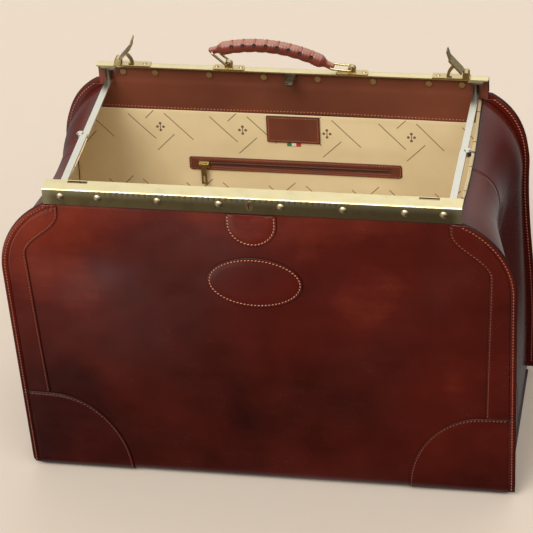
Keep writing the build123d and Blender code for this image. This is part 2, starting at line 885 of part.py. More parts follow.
def make_zip():
    """Pocket behind the back lining with its zip: frame, tape, teeth, slider and puller."""
    cloth_face = leather + lining_gap + lining
    with BuildPart() as pocket:
        with BuildSketch(pocket_plane(leather + edge_gap / 3)):
            with Locations((0, -pocket_depth / 2 + zip_frame_width / 2)):
                Rectangle(pocket_length, pocket_depth)
        extrude(amount=-pocket_thickness)
    save(pocket, "pocket_bag")

    with BuildPart() as frame:
        with BuildSketch(pocket_plane(cloth_face)):
            RectangleRounded(zip_frame_length, zip_frame_width, zip_frame_corner)
            Rectangle(zip_slot_length, zip_slot_width, mode=Mode.SUBTRACT)
        extrude(amount=-zip_frame_thickness)
    save(frame, "zip_surround")

    with BuildPart() as tape:
        with BuildSketch(pocket_plane(cloth_face)):
            Rectangle(zip_slot_length, zip_slot_width)
        extrude(amount=-tape_thickness)
    save(tape, "zip_tape")

    teeth_face = cloth_face + tape_thickness
    with BuildPart() as teeth:
        with BuildSketch(pocket_plane(teeth_face)):
            Rectangle(zip_slot_length, teeth_width)
        extrude(amount=-teeth_thickness)
    save(teeth, "zip_teeth")

    slider_face = teeth_face + teeth_thickness + edge_gap
    slider_x = zip_slot_length / 2 - slider_length / 2
    lug_x = puller_width / 2 + edge_gap + slider_lug / 2
    puller_face = slider_face + slider_base + 2 * edge_gap
    pin_face = puller_face + puller_thickness / 2
    across = pocket_plane(pin_face)
    pin_plane = Plane(
        origin=across.from_local_coords((slider_x, 0, 0)), x_dir=across.y_dir, z_dir=across.x_dir
    )
    with BuildPart() as slider:
        with BuildSketch(pocket_plane(slider_face)):
            with Locations((slider_x, 0)):
                Rectangle(slider_length, slider_width)
        extrude(amount=-slider_base)
        with BuildSketch(pocket_plane(slider_face + slider_base)):
            with Locations((slider_x - lug_x, 0), (slider_x + lug_x, 0)):
                Rectangle(slider_lug, slider_lug_height)
        extrude(amount=-2 * edge_gap - puller_thickness)
        with BuildSketch(pin_plane):
            Circle(puller_pin_radius)
        extrude(amount=lug_x, both=True)
    save(slider, "zip_slider")

    with BuildPart() as puller:
        with BuildSketch(pocket_plane(puller_face)):
            with Locations((slider_x, puller_thickness / 2 - puller_length / 2)):
                Rectangle(puller_width, puller_length)
            with Locations((slider_x, -puller_length * puller_slot_place)):
                SlotOverall(
                    puller_length * puller_slot_share,
                    puller_width * puller_slot_share,
                    rotation=90,
                    mode=Mode.SUBTRACT,
                )
        extrude(amount=-puller_thickness)
        with BuildSketch(pin_plane):
            Circle(puller_hole_radius)
        extrude(amount=puller_width, both=True, mode=Mode.SUBTRACT)
    save(puller, "zip_puller")


def make_label():
    """Leather patch under the facing on the back lining, with a short ribbon below it."""
    cloth_face = leather + lining_gap + lining
    label_top = panel_top - facing_drop - 3 * edge_gap - foot_z
    with BuildPart() as label:
        with BuildSketch(panel_plane(BACK).offset(-cloth_face)):
            with Locations((0, label_top - label_width / 2)):
                RectangleRounded(label_length, label_width, label_corner)
        extrude(amount=-overlay)
    save(label, "label_patch")
    with BuildPart() as ribbon:
        with BuildSketch(panel_plane(BACK).offset(-cloth_face)):
            with Locations((0, label_top - label_width - ribbon_width / 2)):
                Rectangle(ribbon_length, ribbon_width)
        extrude(amount=-lining)
    save(ribbon, "label_ribbon")


def make_base():
    """Leather base the bag stands on, with its stiff board and lining."""
    foot_length = base_length - foot_round
    with BuildPart() as base:
        with BuildSketch(Plane.XY):
            RectangleRounded(foot_length, base_depth, foot_round)
        extrude(amount=base_leather_thickness)
    save(base, "base_leather")
    board_length = base_length - 2 * (seam_lip + gusset_leather + lining + hinge_gap + edge_gap)
    board_depth = base_depth - 2 * (leather + 2 * hinge_gap)
    with BuildPart() as stiffener:
        with BuildSketch(Plane.XY.offset(base_leather_thickness)):
            Rectangle(board_length, board_depth)
        extrude(amount=board)
    save(stiffener, "bottom_board")
    with BuildPart() as cloth:
        with BuildSketch(Plane.XY.offset(base_leather_thickness + board)):
            Rectangle(board_length, board_depth)
        extrude(amount=lining)
    save(cloth, "base_lining")


def make_front_trim():
    """Lock tab and blank oval name patch sewn to the front panel."""
    with BuildPart() as tab:
        with BuildSketch(panel_plane(FRONT)):
            with Locations((0, panel_height - tab_drop + tab_width / 2)):
                Circle(tab_width / 2)
            with Locations((0, panel_height - (tab_drop - tab_width / 2) / 2)):
                Rectangle(tab_width, tab_drop - tab_width / 2)
            with Locations((0, panel_height + tab_width / 2)):
                Rectangle(2 * tab_width, tab_width, mode=Mode.SUBTRACT)
        extrude(amount=overlay)
    save(tab, "lock_tab")
    with BuildPart() as oval:
        with BuildSketch(panel_plane(FRONT)):
            with Locations((0, bag_height - oval_drop - foot_z)):
                Ellipse(oval_length / 2, oval_width / 2)
        extrude(amount=overlay)
    save(oval, "name_oval")


make_base()
for hand, end in ((LEFT, "left"), (RIGHT, "right")):
    make_gusset(hand, seam_lip, gusset_leather, base_leather_thickness + edge_gap,
                edge_gap, f"gusset_{end}")
    lining_foot = base_leather_thickness + board + lining
    make_gusset(hand, seam_lip + gusset_leather, lining, lining_foot,
                lining_gap + lining + 2 * edge_gap, f"gusset_lining_{end}")

for side, face in ((FRONT, "front"), (BACK, "back")):
    make_panel(side, f"{face}_leather")
    make_panel_lining(side, f"{face}_lining")
    make_facing(side, f"{face}_facing")
    for hand, end in ((LEFT, "left"), (RIGHT, "right")):
        make_side_strip(side, hand, f"{face}_side_strip_{end}")
        make_corner_patch(side, hand, f"{face}_corner_patch_{end}")
        make_stay_link(side, hand, f"{face}_stay_link_{end}")
make_front_trim()
make_zip()
make_label()

make_jaw_bar(FRONT, front_flange, front_rivet_places, "front_jaw_bar")
make_jaw_bar(BACK, back_flange, back_rivet_places, "back_jaw_bar")
make_top_hem(FRONT, front_rivet_places, "front_top_hem")
make_top_hem(BACK, back_rivet_places, "back_top_hem")
make_rivets(FRONT, front_rivet_places, "front_rivets")
make_rivets(BACK, back_rivet_places, "back_rivets")
make_stay_tabs(FRONT, front_pivot_y, upper_stay_top, "front_stay_tabs")
make_stay_tabs(BACK, back_pivot_y, lower_stay_top, "back_stay_tabs")
make_stay_pins(front_pivot_y, upper_stay_top, "front_stay_pins")
make_stay_pins(back_pivot_y, lower_stay_top, "back_stay_pins")

make_latch_plates()
make_latch_pins()
make_latch_lever(LEFT, "latch_lever_left")
make_latch_lever(RIGHT, "latch_lever_right")
make_lock_case()
make_lock_bolt()
make_lock_hasp()
make_keyhole_plate()

make_handle_posts()
make_plate_rivets()
make_handle_ring(LEFT, "handle_ring_left")
make_handle_ring(RIGHT, "handle_ring_right")
make_handle_grip()
make_handle_lacing()
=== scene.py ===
import math

import bmesh
import bpy
import numpy as np
from mathutils import Matrix, Vector


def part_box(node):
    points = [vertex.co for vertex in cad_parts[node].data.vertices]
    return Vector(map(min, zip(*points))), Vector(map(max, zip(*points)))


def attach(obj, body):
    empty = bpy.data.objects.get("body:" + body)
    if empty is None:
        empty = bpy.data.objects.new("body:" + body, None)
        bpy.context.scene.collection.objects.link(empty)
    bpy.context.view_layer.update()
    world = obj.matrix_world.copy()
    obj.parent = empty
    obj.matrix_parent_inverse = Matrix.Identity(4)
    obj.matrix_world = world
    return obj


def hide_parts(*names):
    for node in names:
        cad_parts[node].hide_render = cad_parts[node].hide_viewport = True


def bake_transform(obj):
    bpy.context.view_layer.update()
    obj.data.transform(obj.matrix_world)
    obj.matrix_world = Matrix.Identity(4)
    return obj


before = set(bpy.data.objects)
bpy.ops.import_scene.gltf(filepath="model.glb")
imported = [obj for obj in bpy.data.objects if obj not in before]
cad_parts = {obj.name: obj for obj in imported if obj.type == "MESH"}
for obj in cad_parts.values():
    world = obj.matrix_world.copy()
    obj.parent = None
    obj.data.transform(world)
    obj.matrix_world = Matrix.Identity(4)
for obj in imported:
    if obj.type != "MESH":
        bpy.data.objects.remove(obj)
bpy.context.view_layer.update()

# A leather travel bag on a hinged brass frame, standing open. Lengths are in metres, +X runs
# along the bag, -Y is its front and +Z is up.

FRONT, BACK = -1, 1
LEFT, RIGHT = -1, 1
FACE = {FRONT: "front", BACK: "back"}
END = {LEFT: "left", RIGHT: "right"}

# ---------------------------------------------------------------- places read from the frame

panel_low, panel_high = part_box("front_leather")
base_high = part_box("base_leather")[1]
jaw_low, jaw_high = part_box("front_jaw_bar")
hem_low, hem_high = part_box("front_top_hem")

LEATHER = 0.0022
OVERLAY = 0.0014
GUSSET = 0.0018
CLOTH = 0.0008
LINING_DEPTH = 0.0040
PANEL_ROUND = 0.0009
OVERLAY_ROUND = 0.0007
GUSSET_ROUND = 0.0008
CLOTH_ROUND = 0.0004
PAINTED_EDGE = 0.0010
LIP_STITCH = 0.0036
SEAM_STITCH = 0.0022
OVAL_STITCH = 0.0026
LONG_PITCH = 0.0036

FOOT_Z = panel_low.z
HALF_DEPTH = base_high.y
LEAN = math.atan2(-panel_low.y - HALF_DEPTH, panel_high.z - FOOT_Z)
PANEL_TOP = (jaw_low.z - FOOT_Z) / math.cos(LEAN) - 0.0004
OVERLAY_TOP = PANEL_TOP - 0.0014
WIDEST = panel_high.x
FOOT_HALF = base_high.x + 0.005
SHOULDER_Z = 0.262
SHOULDER_RADIUS = 0.094
FLARE = math.atan2(WIDEST - FOOT_HALF, SHOULDER_Z - FOOT_Z)
SHOULDER_X = WIDEST - SHOULDER_RADIUS * math.cos(FLARE)
SHOULDER_V = SHOULDER_Z - FOOT_Z + SHOULDER_RADIUS * math.sin(FLARE)
FOOT_CORNER = 0.010
SHOULDER_PINCH = 0.010
PINCH_FOOT = 0.06
ROLL = 0.010
ROLL_LIFT = 0.0016
ROLL_V = ROLL + ROLL_LIFT - FOOT_Z
TUCK_V = -0.014
LIP = 0.008

EDGE_STEPS = np.array([0.0, 0.13, 0.5, 1.0])


# ---------------------------------------------------------------- shape of the bag

def outline_half(v):
    """Half width of a panel at height v: a side flaring straight out, a round shoulder above it,
    and a small round at the foot."""
    v = np.asarray(v, float)
    straight = FOOT_HALF + v * math.tan(FLARE)
    rise = np.clip(v - SHOULDER_V, -SHOULDER_RADIUS, SHOULDER_RADIUS)
    arc = SHOULDER_X + np.sqrt(SHOULDER_RADIUS**2 - rise**2)
    half = np.where(v > SHOULDER_V - SHOULDER_RADIUS * math.sin(FLARE), arc, straight)
    drop = np.clip(FOOT_CORNER - v, 0, FOOT_CORNER)
    return half - (FOOT_CORNER - np.sqrt(FOOT_CORNER**2 - drop**2))


def inset_half(v, inset):
    """Half width of the outline moved in by inset, measured square to it."""
    v = np.asarray(v, float)
    straight = FOOT_HALF + v * math.tan(FLARE) - inset / math.cos(FLARE)
    radius = SHOULDER_RADIUS - inset
    rise = np.clip(v - SHOULDER_V, -radius, radius)
    arc = SHOULDER_X + np.sqrt(radius**2 - rise**2)
    return np.where(v > SHOULDER_V - radius * math.sin(FLARE), arc, straight)


def from_outline(x, v):
    """Distance of a panel point inside the outline: square to the side below the shoulder, and
    along the shoulder's radius above."""
    straight = (FOOT_HALF + v * math.tan(FLARE) - np.abs(x)) * math.cos(FLARE)
    arc = SHOULDER_RADIUS - np.hypot(np.abs(x) - SHOULDER_X, v - SHOULDER_V)
    return np.where(v > SHOULDER_V, arc, straight)


def belly(side, x, v):
    """How far the leather stands out of its flat plane: one low swell, three slow ripples that
    die out at the seams, and a hollow below each end of the jaw."""
    across = np.clip(1 - (x / outline_half(v)) ** 2, 0, 1)
    up = np.clip(v / PANEL_TOP, 0, 1)
    swell = 0.0060 * across * np.sin(np.pi * up**0.8)
    ripples = (
        0.0011 * np.cos(13 * x + 21 * v + 0.6 * side)
        + 0.0008 * np.cos(-19 * x + 14 * v + 1.9)
        + 0.0005 * np.cos(31 * x - 9 * v + 4.0 * side)
    )
    ends = np.exp(-(((np.abs(x) - 0.178) / 0.045) ** 2) - ((v - 0.283) / 0.035) ** 2)
    return swell + ripples * np.sqrt(across) * np.sin(np.pi * up) - 0.0034 * ends * across


def roll_under(side, v, lift):
    """Panel profile at height v as y and z: the leaning face above, then a quarter circle that
    rolls under the bag, then level; lift goes square out from it."""
    v = np.asarray(v, float)
    bend = np.clip((ROLL_V - v) / ROLL, 0, math.pi / 2)
    rest = np.maximum(ROLL_V - v - ROLL * math.pi / 2, 0)
    rise = np.maximum(v, ROLL_V)
    y = HALF_DEPTH + rise * math.sin(LEAN) - ROLL * (1 - np.cos(bend)) - rest
    z = FOOT_Z + rise * math.cos(LEAN) - ROLL * np.sin(bend)
    out_y = np.cos(bend + LEAN * (bend <= 0))
    out_z = -np.sin(bend + LEAN * (bend <= 0))
    return side * (y + lift * out_y), z + lift * out_z


def pinch(side, v):
    """How far the back panel's sides are drawn in by the gussets at height v: most at the
    shoulders, nothing at the foot and the jaw."""
    rise = np.clip((v - PINCH_FOOT) / (PANEL_TOP - PINCH_FOOT), 0, 1)
    return (SHOULDER_PINCH if side == BACK else 0.0) * np.sin(np.pi * rise**1.6)


def drawn_in(side, x, v):
    """Place across the bag after the pinch, which grows from the middle out to the sides."""
    return x - np.sign(x) * pinch(side, v) * (np.abs(x) / 0.25) ** 3


def skin(side, x, v, lift=0.0):
    """Point on the leather of a panel: across x, up v, and lift out from the swollen surface."""
    x, v = np.broadcast_arrays(np.asarray(x, float), np.asarray(v, float))
    y, z = roll_under(side, v, lift + belly(side, x, v))
    return np.stack([drawn_in(side, x, v), y, z], -1)


def inside(side, x, v, depth):
    """Point on the inner side of a panel: depth behind its flat plane, pushed in where the
    leather dips, with soft folds in the cloth that fade towards its seams and round the zip."""
    x, v = np.broadcast_arrays(np.asarray(x, float), np.asarray(v, float))
    calm = 1 - np.exp(-((np.abs(x) / 0.135) ** 8) - (np.abs(v - 0.2444) / 0.022) ** 4)
    up = np.clip(v / 0.300, 0, 1)
    waves = 1 + np.sin(24 * x + 9 * v) * np.cos(11 * x - 17 * v + 1.0)
    folds = 0.0016 * waves * np.sin(np.pi * up) ** 0.7
    dip = np.minimum(belly(side, x, v), 0)
    y, z = roll_under(side, v, dip - depth - folds * calm * np.clip(1 - (x / 0.252) ** 4, 0, 1))
    return np.stack([drawn_in(side, x, v), y, z], -1)


# ---------------------------------------------------------------- mesh building

def edged(length, step, edge, start=True, end=True):
    """Shares from 0 to 1 along a length in even steps, with close ones at each rounded end."""
    close = EDGE_STEPS * edge / length
    low = close if start else np.array([0.0])
    high = 1 - close[::-1] if end else np.array([1.0])
    count = max(int(round((high[0] - low[-1]) * length / step)), 2)
    return np.concatenate([low[:-1], np.linspace(low[-1], high[0], count + 1), high[1:]])


def two_steps(split, coarse, coarse_edge, fine, fine_edge):
    """Shares from 0 to 1: coarse steps up to the split and fine ones after it, with close ones at
    both ends."""
    near = split * edged(split, coarse, coarse_edge, end=False)
    far = split + (1 - split) * edged(1 - split, fine, fine_edge, start=False)[1:]
    return np.concatenate([near, far])


def painted(distance, width=PAINTED_EDGE):
    """Share of edge paint at a distance from a cut edge: full on it, none past the width."""
    return np.clip(1 - distance / width, 0, 1)


def stitch_groove(distance, inset):
    """Depth of the groove that a row of stitches pulls in at its inset from the edge: a bell curve."""
    return 0.0003 * np.exp(-(((distance - inset) / 0.0005) ** 2))


def fullness(distance, edge):
    """Share of the thickness left at a distance from a rounded edge: a quarter circle."""
    return np.sqrt(np.clip(1 - (1 - np.clip(distance / edge, 0, 1)) ** 2, 0, 1))


def grid_faces(rows, columns):
    """Four-sided faces of a grid whose vertices are numbered row by row."""
    number = np.arange(rows * columns).reshape(rows, columns)
    corners = [number[:-1, :-1], number[1:, :-1], number[1:, 1:], number[:-1, 1:]]
    return np.stack(corners, -1).reshape(-1, 4)


def ring_faces(number):
    """Four-sided faces between closed rings of vertices, one ring to a row."""
    after = np.roll(number, -1, axis=1)
    return np.stack([number[:-1], number[1:], after[1:], after[:-1]], -1).reshape(-1, 4)


def make_piece(name, points, faces, finish, values=None, weld=2e-5):
    """Mesh object of points and faces, welded, with its faces turned outwards and smooth."""
    mesh = bpy.data.meshes.new(name)
    places = np.asarray(points, float).reshape(-1, 3)
    mesh.from_pydata(places.tolist(), [], np.asarray(faces).tolist())
    for key, value in (values or {}).items():
        value = np.asarray(value, np.float32)
        kind = "FLOAT_VECTOR" if value.ndim == 2 else "FLOAT"
        layer = mesh.attributes.new(key, kind, "POINT")
        layer.data.foreach_set("vector" if value.ndim == 2 else "value", value.ravel())
    work = bmesh.new()
    work.from_mesh(mesh)
    if weld:
        bmesh.ops.remove_doubles(work, verts=work.verts, dist=weld)
        bmesh.ops.dissolve_degenerate(work, edges=work.edges, dist=1e-7)
    bmesh.ops.recalc_face_normals(work, faces=work.faces)
    for face in work.faces:
        face.smooth = True
    work.to_mesh(mesh)
    work.free()
    mesh.materials.append(finish)
    piece = bpy.data.objects.new(name, mesh)
    bpy.context.scene.collection.objects.link(piece)
    return piece


def grid_normals(middle):
    """Unit normals of a grid: the cross product of the differences along its rows and columns,
    or the grid's mean normal where they vanish."""
    normal = np.cross(np.gradient(middle, axis=0), np.gradient(middle, axis=1))
    size = np.linalg.norm(normal, axis=-1, keepdims=True)
    typical = normal.sum((0, 1))
    typical /= max(np.linalg.norm(typical), 1e-12)
    return np.where(size > 1e-12, normal / np.maximum(size, 1e-12), typical)


def shell(name, middle, thickness, full, finish, rim=None, cloth=None):
    """Closed sheet about a grid of middle points: half its thickness on each side along the
    normal, times the fullness, which is nothing on the borders, so that the two sides meet."""
    normal = grid_normals(middle)
    half = (np.asarray(thickness) * full / 2)[..., None]
    points = np.concatenate([middle + normal * half, middle - normal * half]).reshape(-1, 3)
    faces = grid_faces(*middle.shape[:2])
    faces = np.concatenate([faces, faces[:, ::-1] + middle.shape[0] * middle.shape[1]])
    values = {}
    if rim is not None:
        values["rim"] = np.tile(np.asarray(rim).ravel(), 2)
    if cloth is not None:
        values["cloth"] = np.tile(cloth.reshape(-1, 3), (2, 1))
    return make_piece(name, points, faces, finish, values)


def tube(name, centres, first, second, radii_first, radii_second, finish, sides=20, squareness=2.0):
    """Closed tube: at each centre an oval of two half axes, along the first and second
    directions; a squareness over 2 flattens its sides. Its end rings shrink to points."""
    turn = np.linspace(0, 2 * np.pi, sides, endpoint=False)
    power = 2 / squareness
    c = np.sign(np.cos(turn)) * np.abs(np.cos(turn)) ** power
    s = np.sign(np.sin(turn)) * np.abs(np.sin(turn)) ** power
    points = (
        centres[:, None]
        + first[:, None] * (radii_first[:, None] * c)[..., None]
        + second[:, None] * (radii_second[:, None] * s)[..., None]
    )
    number = np.arange(len(centres) * sides).reshape(-1, sides)
    return make_piece(name, points, ring_faces(number), finish)


def join(name, pieces):
    """One object made of several, under a new name."""
    bpy.ops.object.select_all(action="DESELECT")
    for piece in pieces:
        piece.select_set(True)
    bpy.context.view_layer.objects.active = pieces[0]
    if len(pieces) > 1:
        bpy.ops.object.join()
    pieces[0].name = name
    pieces[0].data.name = name
    return pieces[0]


STITCH_SLANT = 0.42
STITCH_SIDES = 5


def stitch_row(name, path, outward, finish, pitch=0.0038, length=0.0024, width=0.00058, height=0.00060):
    """Row of thread stitches: each is a short spindle of five-sided rings, laid along the path
    at even steps, turned a little off its line and half sunk in the surface."""
    step = np.linalg.norm(np.diff(path, axis=0), axis=1)
    run = np.concatenate([[0], np.cumsum(step)])
    count = max(int(run[-1] / pitch), 1)
    at = (np.arange(count) + 0.5) * run[-1] / count

    def along(values, where):
        """Values of the path at distances along it."""
        return np.stack([np.interp(where, run, values[:, k]) for k in range(3)], -1)

    centre = along(path, at)
    forward = along(path, at + 5e-4) - along(path, at - 5e-4)
    forward /= np.linalg.norm(forward, axis=1, keepdims=True)
    up = along(outward, at)
    up -= forward * (up * forward).sum(1, keepdims=True)
    up /= np.linalg.norm(up, axis=1, keepdims=True)
    across = np.cross(up, forward)
    turned = forward * math.cos(STITCH_SLANT) + across * math.sin(STITCH_SLANT)
    across = np.cross(up, turned)

    ring = np.linspace(0, 2 * np.pi, STITCH_SIDES, endpoint=False)
    places = np.array([-1, -0.72, 0, 0.72, 1])
    sizes = np.array([0.05, 0.78, 1.0, 0.78, 0.05])
    t = np.repeat(places, STITCH_SIDES) * length / 2
    a = (sizes[:, None] * np.cos(ring)).ravel() * width
    sink = 0.35 * height * np.repeat(places**2, STITCH_SIDES)
    b = (sizes[:, None] * np.sin(ring)).ravel() * height - sink
    points = (
        centre[:, None]
        + turned[:, None] * t[None, :, None]
        + across[:, None] * a[None, :, None]
        + up[:, None] * b[None, :, None]
    )
    one = ring_faces(np.arange(t.size).reshape(-1, STITCH_SIDES))
    faces = (one[None] + t.size * np.arange(count)[:, None, None]).reshape(-1, 4)
    return make_piece(name, points, faces, finish, weld=0)


# ---------------------------------------------------------------- shader writing

class Socket:
    """An output of a node; arithmetic on it adds Math nodes."""

    def __init__(self, finish, out):
        self.finish = finish
        self.out = out

    def math(self, operation, *others):
        """Math node on this number and the others."""
        return self.finish.node("Math", {"operation": operation}, dict(enumerate((self,) + others)))

    def __add__(self, other):
        return self.math("ADD", other)

    def __sub__(self, other):
        return self.math("SUBTRACT", other)

    def __mul__(self, other):
        return self.math("MULTIPLY", other)

    def __truediv__(self, other):
        return self.math("DIVIDE", other)

    def __pow__(self, other):
        return self.math("POWER", other)

    def __rsub__(self, other):
        return self.finish.node("Math", {"operation": "SUBTRACT"}, {0: other, 1: self})

    def __neg__(self):
        return self.math("MULTIPLY", -1.0)

    __radd__ = __add__
    __rmul__ = __mul__

    def size(self):
        """The number without its sign."""
        return self.math("ABSOLUTE")

    def least(self, other):
        return self.math("MINIMUM", other)

    def most(self, other):
        return self.math("MAXIMUM", other)

    def step(self, low, high):
        """Smooth rise from 0 at low to 1 at high."""
        settings = {"interpolation_type": "SMOOTHSTEP"}
        inputs = {"Value": self, "From Min": low, "From Max": high}
        return self.finish.node("MapRange", settings, inputs)

    def wrap(self, pitch):
        """Place within a repeat of the given pitch, from minus to plus half of it."""
        return (self + pitch / 2).math("FLOORED_MODULO", pitch) - pitch / 2

    def parts(self):
        """The three numbers of a vector."""
        split = self.finish.node("SeparateXYZ", {}, {"Vector": self})
        outputs = split.out.node.outputs
        return [Socket(self.finish, outputs[k]) for k in range(3)]


class Finish:
    """A node tree for a material or the world; node() adds any node and wraps an output."""

    def __init__(self, name, world=False):
        owner = (bpy.data.worlds if world else bpy.data.materials).new(name)
        owner.use_nodes = True
        self.owner = owner
        self.tree = owner.node_tree
        self.tree.nodes.clear()

    def feed(self, socket, value):
        """Links a wrapped output to an input, or sets the input to a value."""
        if isinstance(value, Socket):
            self.tree.links.new(value.out, socket)
        elif socket.type == "RGBA" and len(value) == 3:
            socket.default_value = (*value, 1.0)
        else:
            socket.default_value = value

    def node(self, kind, settings=None, inputs=None, output=0):
        """Adds a node of a kind: its settings first, a ramp's stops among them, then its inputs."""
        made = self.tree.nodes.new("ShaderNode" + kind)
        for key, value in (settings or {}).items():
            if key == "stops":
                ramp = made.color_ramp
                while len(ramp.elements) < len(value):
                    ramp.elements.new(0.5)
                for element, (place, colour) in zip(ramp.elements, value):
                    element.position = place
                    element.color = (*colour, 1.0)
            else:
                setattr(made, key, value)
        for key, value in (inputs or {}).items():
            self.feed(made.inputs[key], value)
        return Socket(self, made.outputs[output]) if made.outputs else None

    def place(self, output="Object"):
        return self.node("TexCoord", output=output)

    def read(self, attribute, output="Fac"):
        return self.node("Attribute", {"attribute_name": attribute}, output=output)

    def stretch(self, place, scale):
        return self.node("Mapping", {}, {"Vector": place, "Scale": scale})

    def noise(self, place, scale, detail=3.0, roughness=0.55, distortion=0.0):
        inputs = {"Vector": place, "Scale": scale, "Detail": detail, "Roughness": roughness}
        return self.node("TexNoise", {}, {**inputs, "Distortion": distortion})

    def cells(self, place, scale):
        return self.node("TexVoronoi", {"feature": "F1"}, {"Vector": place, "Scale": scale})

    def mix(self, share, first, second):
        return self.node("Mix", {"data_type": "RGBA"}, {0: share, 6: first, 7: second}, output=2)

    def shade(self, share, *colours):
        """Colour ramp with its stops at even steps."""
        places = np.linspace(0, 1, len(colours))
        return self.node("ValToRGB", {"stops": list(zip(places.tolist(), colours))}, {"Fac": share})

    def bump(self, height, distance, strength=1.0, normal=None):
        inputs = {"Strength": strength, "Distance": distance, "Height": height}
        if normal is not None:
            inputs["Normal"] = normal
        return self.node("Bump", {}, inputs)

    def surface(self, **inputs):
        values = {key.replace("_", " "): value for key, value in inputs.items()}
        shader = self.node("BsdfPrincipled", {}, values)
        self.node("OutputMaterial", {}, {"Surface": shader})
        return self.owner


EDGE_PAINT = (0.014, 0.003, 0.002)


def leather_finish(name, dark, warm, bright, lift=0.5, gloss=0.24, coat=0.30, wear_and_sheen=None):
    """Glazed leather: dye that clouds slowly from dark to bright, with painted light laid over it:
    the colour is made warmer and brighter towards the top and towards the left end (-x), and darker
    low down, as if lit from above on the left, by an amount set by lift. Fine pores and long creases
    in the surface, a dark painted edge where rim is 1, and a lighter colour, if one is given,
    where the leather faces up: partly wear, partly a painted sheen of the light from above."""
    f = Finish(name)
    place = f.place()
    height = place.parts()[2]
    cloud = f.noise(place, 4.5, 3.0, 0.5, 0.4)
    mottle = f.noise(place, 26.0, 4.0, 0.6)
    streak = f.noise(f.stretch(place, (5.0, 5.0, 38.0)), 3.0, 3.0, 0.6)
    across = place.parts()[0]
    # Painted light: the height step brightens the leather towards the top, so it is darker low down.
    tone = height.step(0.02, 0.37) * lift + (cloud - 0.5) * 1.7
    tone = tone + (mottle - 0.5) * 0.35 + (streak - 0.5) * 0.15
    # Painted light: the leather is brightened towards the left end (-x), as if lit from the left.
    tone = tone + 0.20 - across * 0.55 * lift
    colour = f.shade(tone, dark, warm, bright)
    rim = f.read("rim")
    colour = f.mix(rim.step(0.15, 0.9), colour, EDGE_PAINT)
    # A lighter colour where the leather faces up: partly wear, partly a painted sheen of the light from
    # above.
    if wear_and_sheen:
        up = f.node("NewGeometry", output=1).parts()[2]
        colour = f.mix(up.step(0.35, 0.95) * (0.55 + mottle * 0.6), colour, wear_and_sheen)
    pores = f.cells(place, 900.0)
    creases = f.noise(f.stretch(place, (60.0, 60.0, 170.0)), 3.0, 5.0, 0.62, 0.8)
    waves = f.noise(place, 13.0, 2.0, 0.5)
    relief = pores * 0.10 + creases * 0.55
    normal = f.bump(waves, 0.0030, 0.55)
    normal = f.bump(relief, 0.00014, 0.32, normal)
    rough = gloss + (mottle - 0.5) * 0.16 + (creases - 0.5) * 0.10 + rim * 0.25
    coat_share = coat - rim * 0.3
    return f.surface(
        Base_Color=colour, Roughness=rough, Normal=normal, Coat_Weight=coat_share, Coat_Roughness=0.13,
        Specular_IOR_Level=0.32,
    )


def thread_finish(name, light, dark):
    """Waxed thread: two plies that show as fine slanting bands, a little uneven in colour."""
    f = Finish(name)
    place = f.place()
    bands = {"wave_type": "BANDS", "bands_direction": "DIAGONAL"}
    ply = f.node("TexWave", bands, {"Vector": place, "Scale": 900.0})
    dust = f.noise(place, 300.0, 3.0)
    colour = f.mix(dust.step(0.3, 0.7), light, dark)
    return f.surface(Base_Color=colour, Roughness=0.62 - dust * 0.1, Normal=f.bump(ply, 0.0001, 0.4))


DENT_PITCH = 0.0058


def metal_finish(name, bright, face, dark, rough, patina=1.0, grain=(3.0, 260.0, 260.0), crest=None):
    """Plated metal: a bright colour where it faces up and a darker one on the upright faces,
    partly polish against patina and partly painted light, with the tops painted lit and the
    upright faces painted in shade; darker patina on the upright faces and in blotches, with fine
    brushing drawn along the bag. Below a crest, the height of the bar's top, a row of shallow
    dents runs along the upright face, darkened in colour, and the upright face gets a painted
    highlight along its top bend and at both ends of the bar."""
    f = Finish(name)
    place = f.place()
    up = f.node("NewGeometry", output=1).parts()[2]
    blotch = f.noise(place, 60.0, 4.0, 0.6)
    brush = f.noise(f.stretch(place, grain), 4.0, 3.0, 0.6)
    fine = f.noise(place, 420.0, 3.0, 0.6)
    top = up.step(0.25, 0.85)
    # Faces that point up take the bright colour and upright faces the darker one: partly polish and patina,
    # partly painted light and shade.
    colour = f.mix(top, face, bright)
    tarnish = (blotch.step(0.42, 0.78) * 0.55 + fine.step(0.55, 0.8) * 0.25) * (1 - top * 0.75) * patina
    colour = f.mix(tarnish, colour, dark)
    roughness = rough + (brush - 0.5) * 0.14 + tarnish * 0.22
    height = brush * 0.6 + fine * 0.25
    if crest is not None:
        x, _, z = place.parts()
        # Painted highlight: the upright face is lightened in a band under its top bend.
        painted_bend_highlight = z.step(crest - 0.010, crest - 0.001) * (1 - top)
        colour = f.mix(painted_bend_highlight * 0.40, colour, bright)
        # Painted highlight: the upright face is lightened at both ends of the bar.
        ends = (x.size() - 0.198).step(0.0, 0.010)
        colour = f.mix(ends * 0.45 * (1 - top), colour, bright)
        dent = (x * (2 * math.pi / DENT_PITCH) + blotch * 3.0).math("SINE").step(0.1, 0.9)
        dent = dent * z.step(crest - 0.0065, crest - 0.0035)
        dent = dent * (1 - z.step(crest - 0.0012, crest - 0.0002))
        dent = dent * (1 - (x + 0.03).size().step(0.10, 0.15))
        colour = f.mix(dent * 0.45, colour, dark)
        height = height - dent * 2.0
    normal = f.bump(height, 0.00006, 0.45)
    return f.surface(Base_Color=colour, Metallic=1.0, Roughness=roughness, Normal=normal)


WARP_PITCH = 0.0009
WEFT_PITCH = 0.0008
PRINT_ACROSS = 0.092
PRINT_UP = 0.083
PRINT_SHIFT = 0.031
PRINT_STROKES = (
    (-0.021, 0.000, -1, 0.0215), (0.021, 0.001, -1, 0.0225),
    (-0.011, 0.0150, 1, 0.0075), (0.005, -0.0190, 1, 0.0150),
)


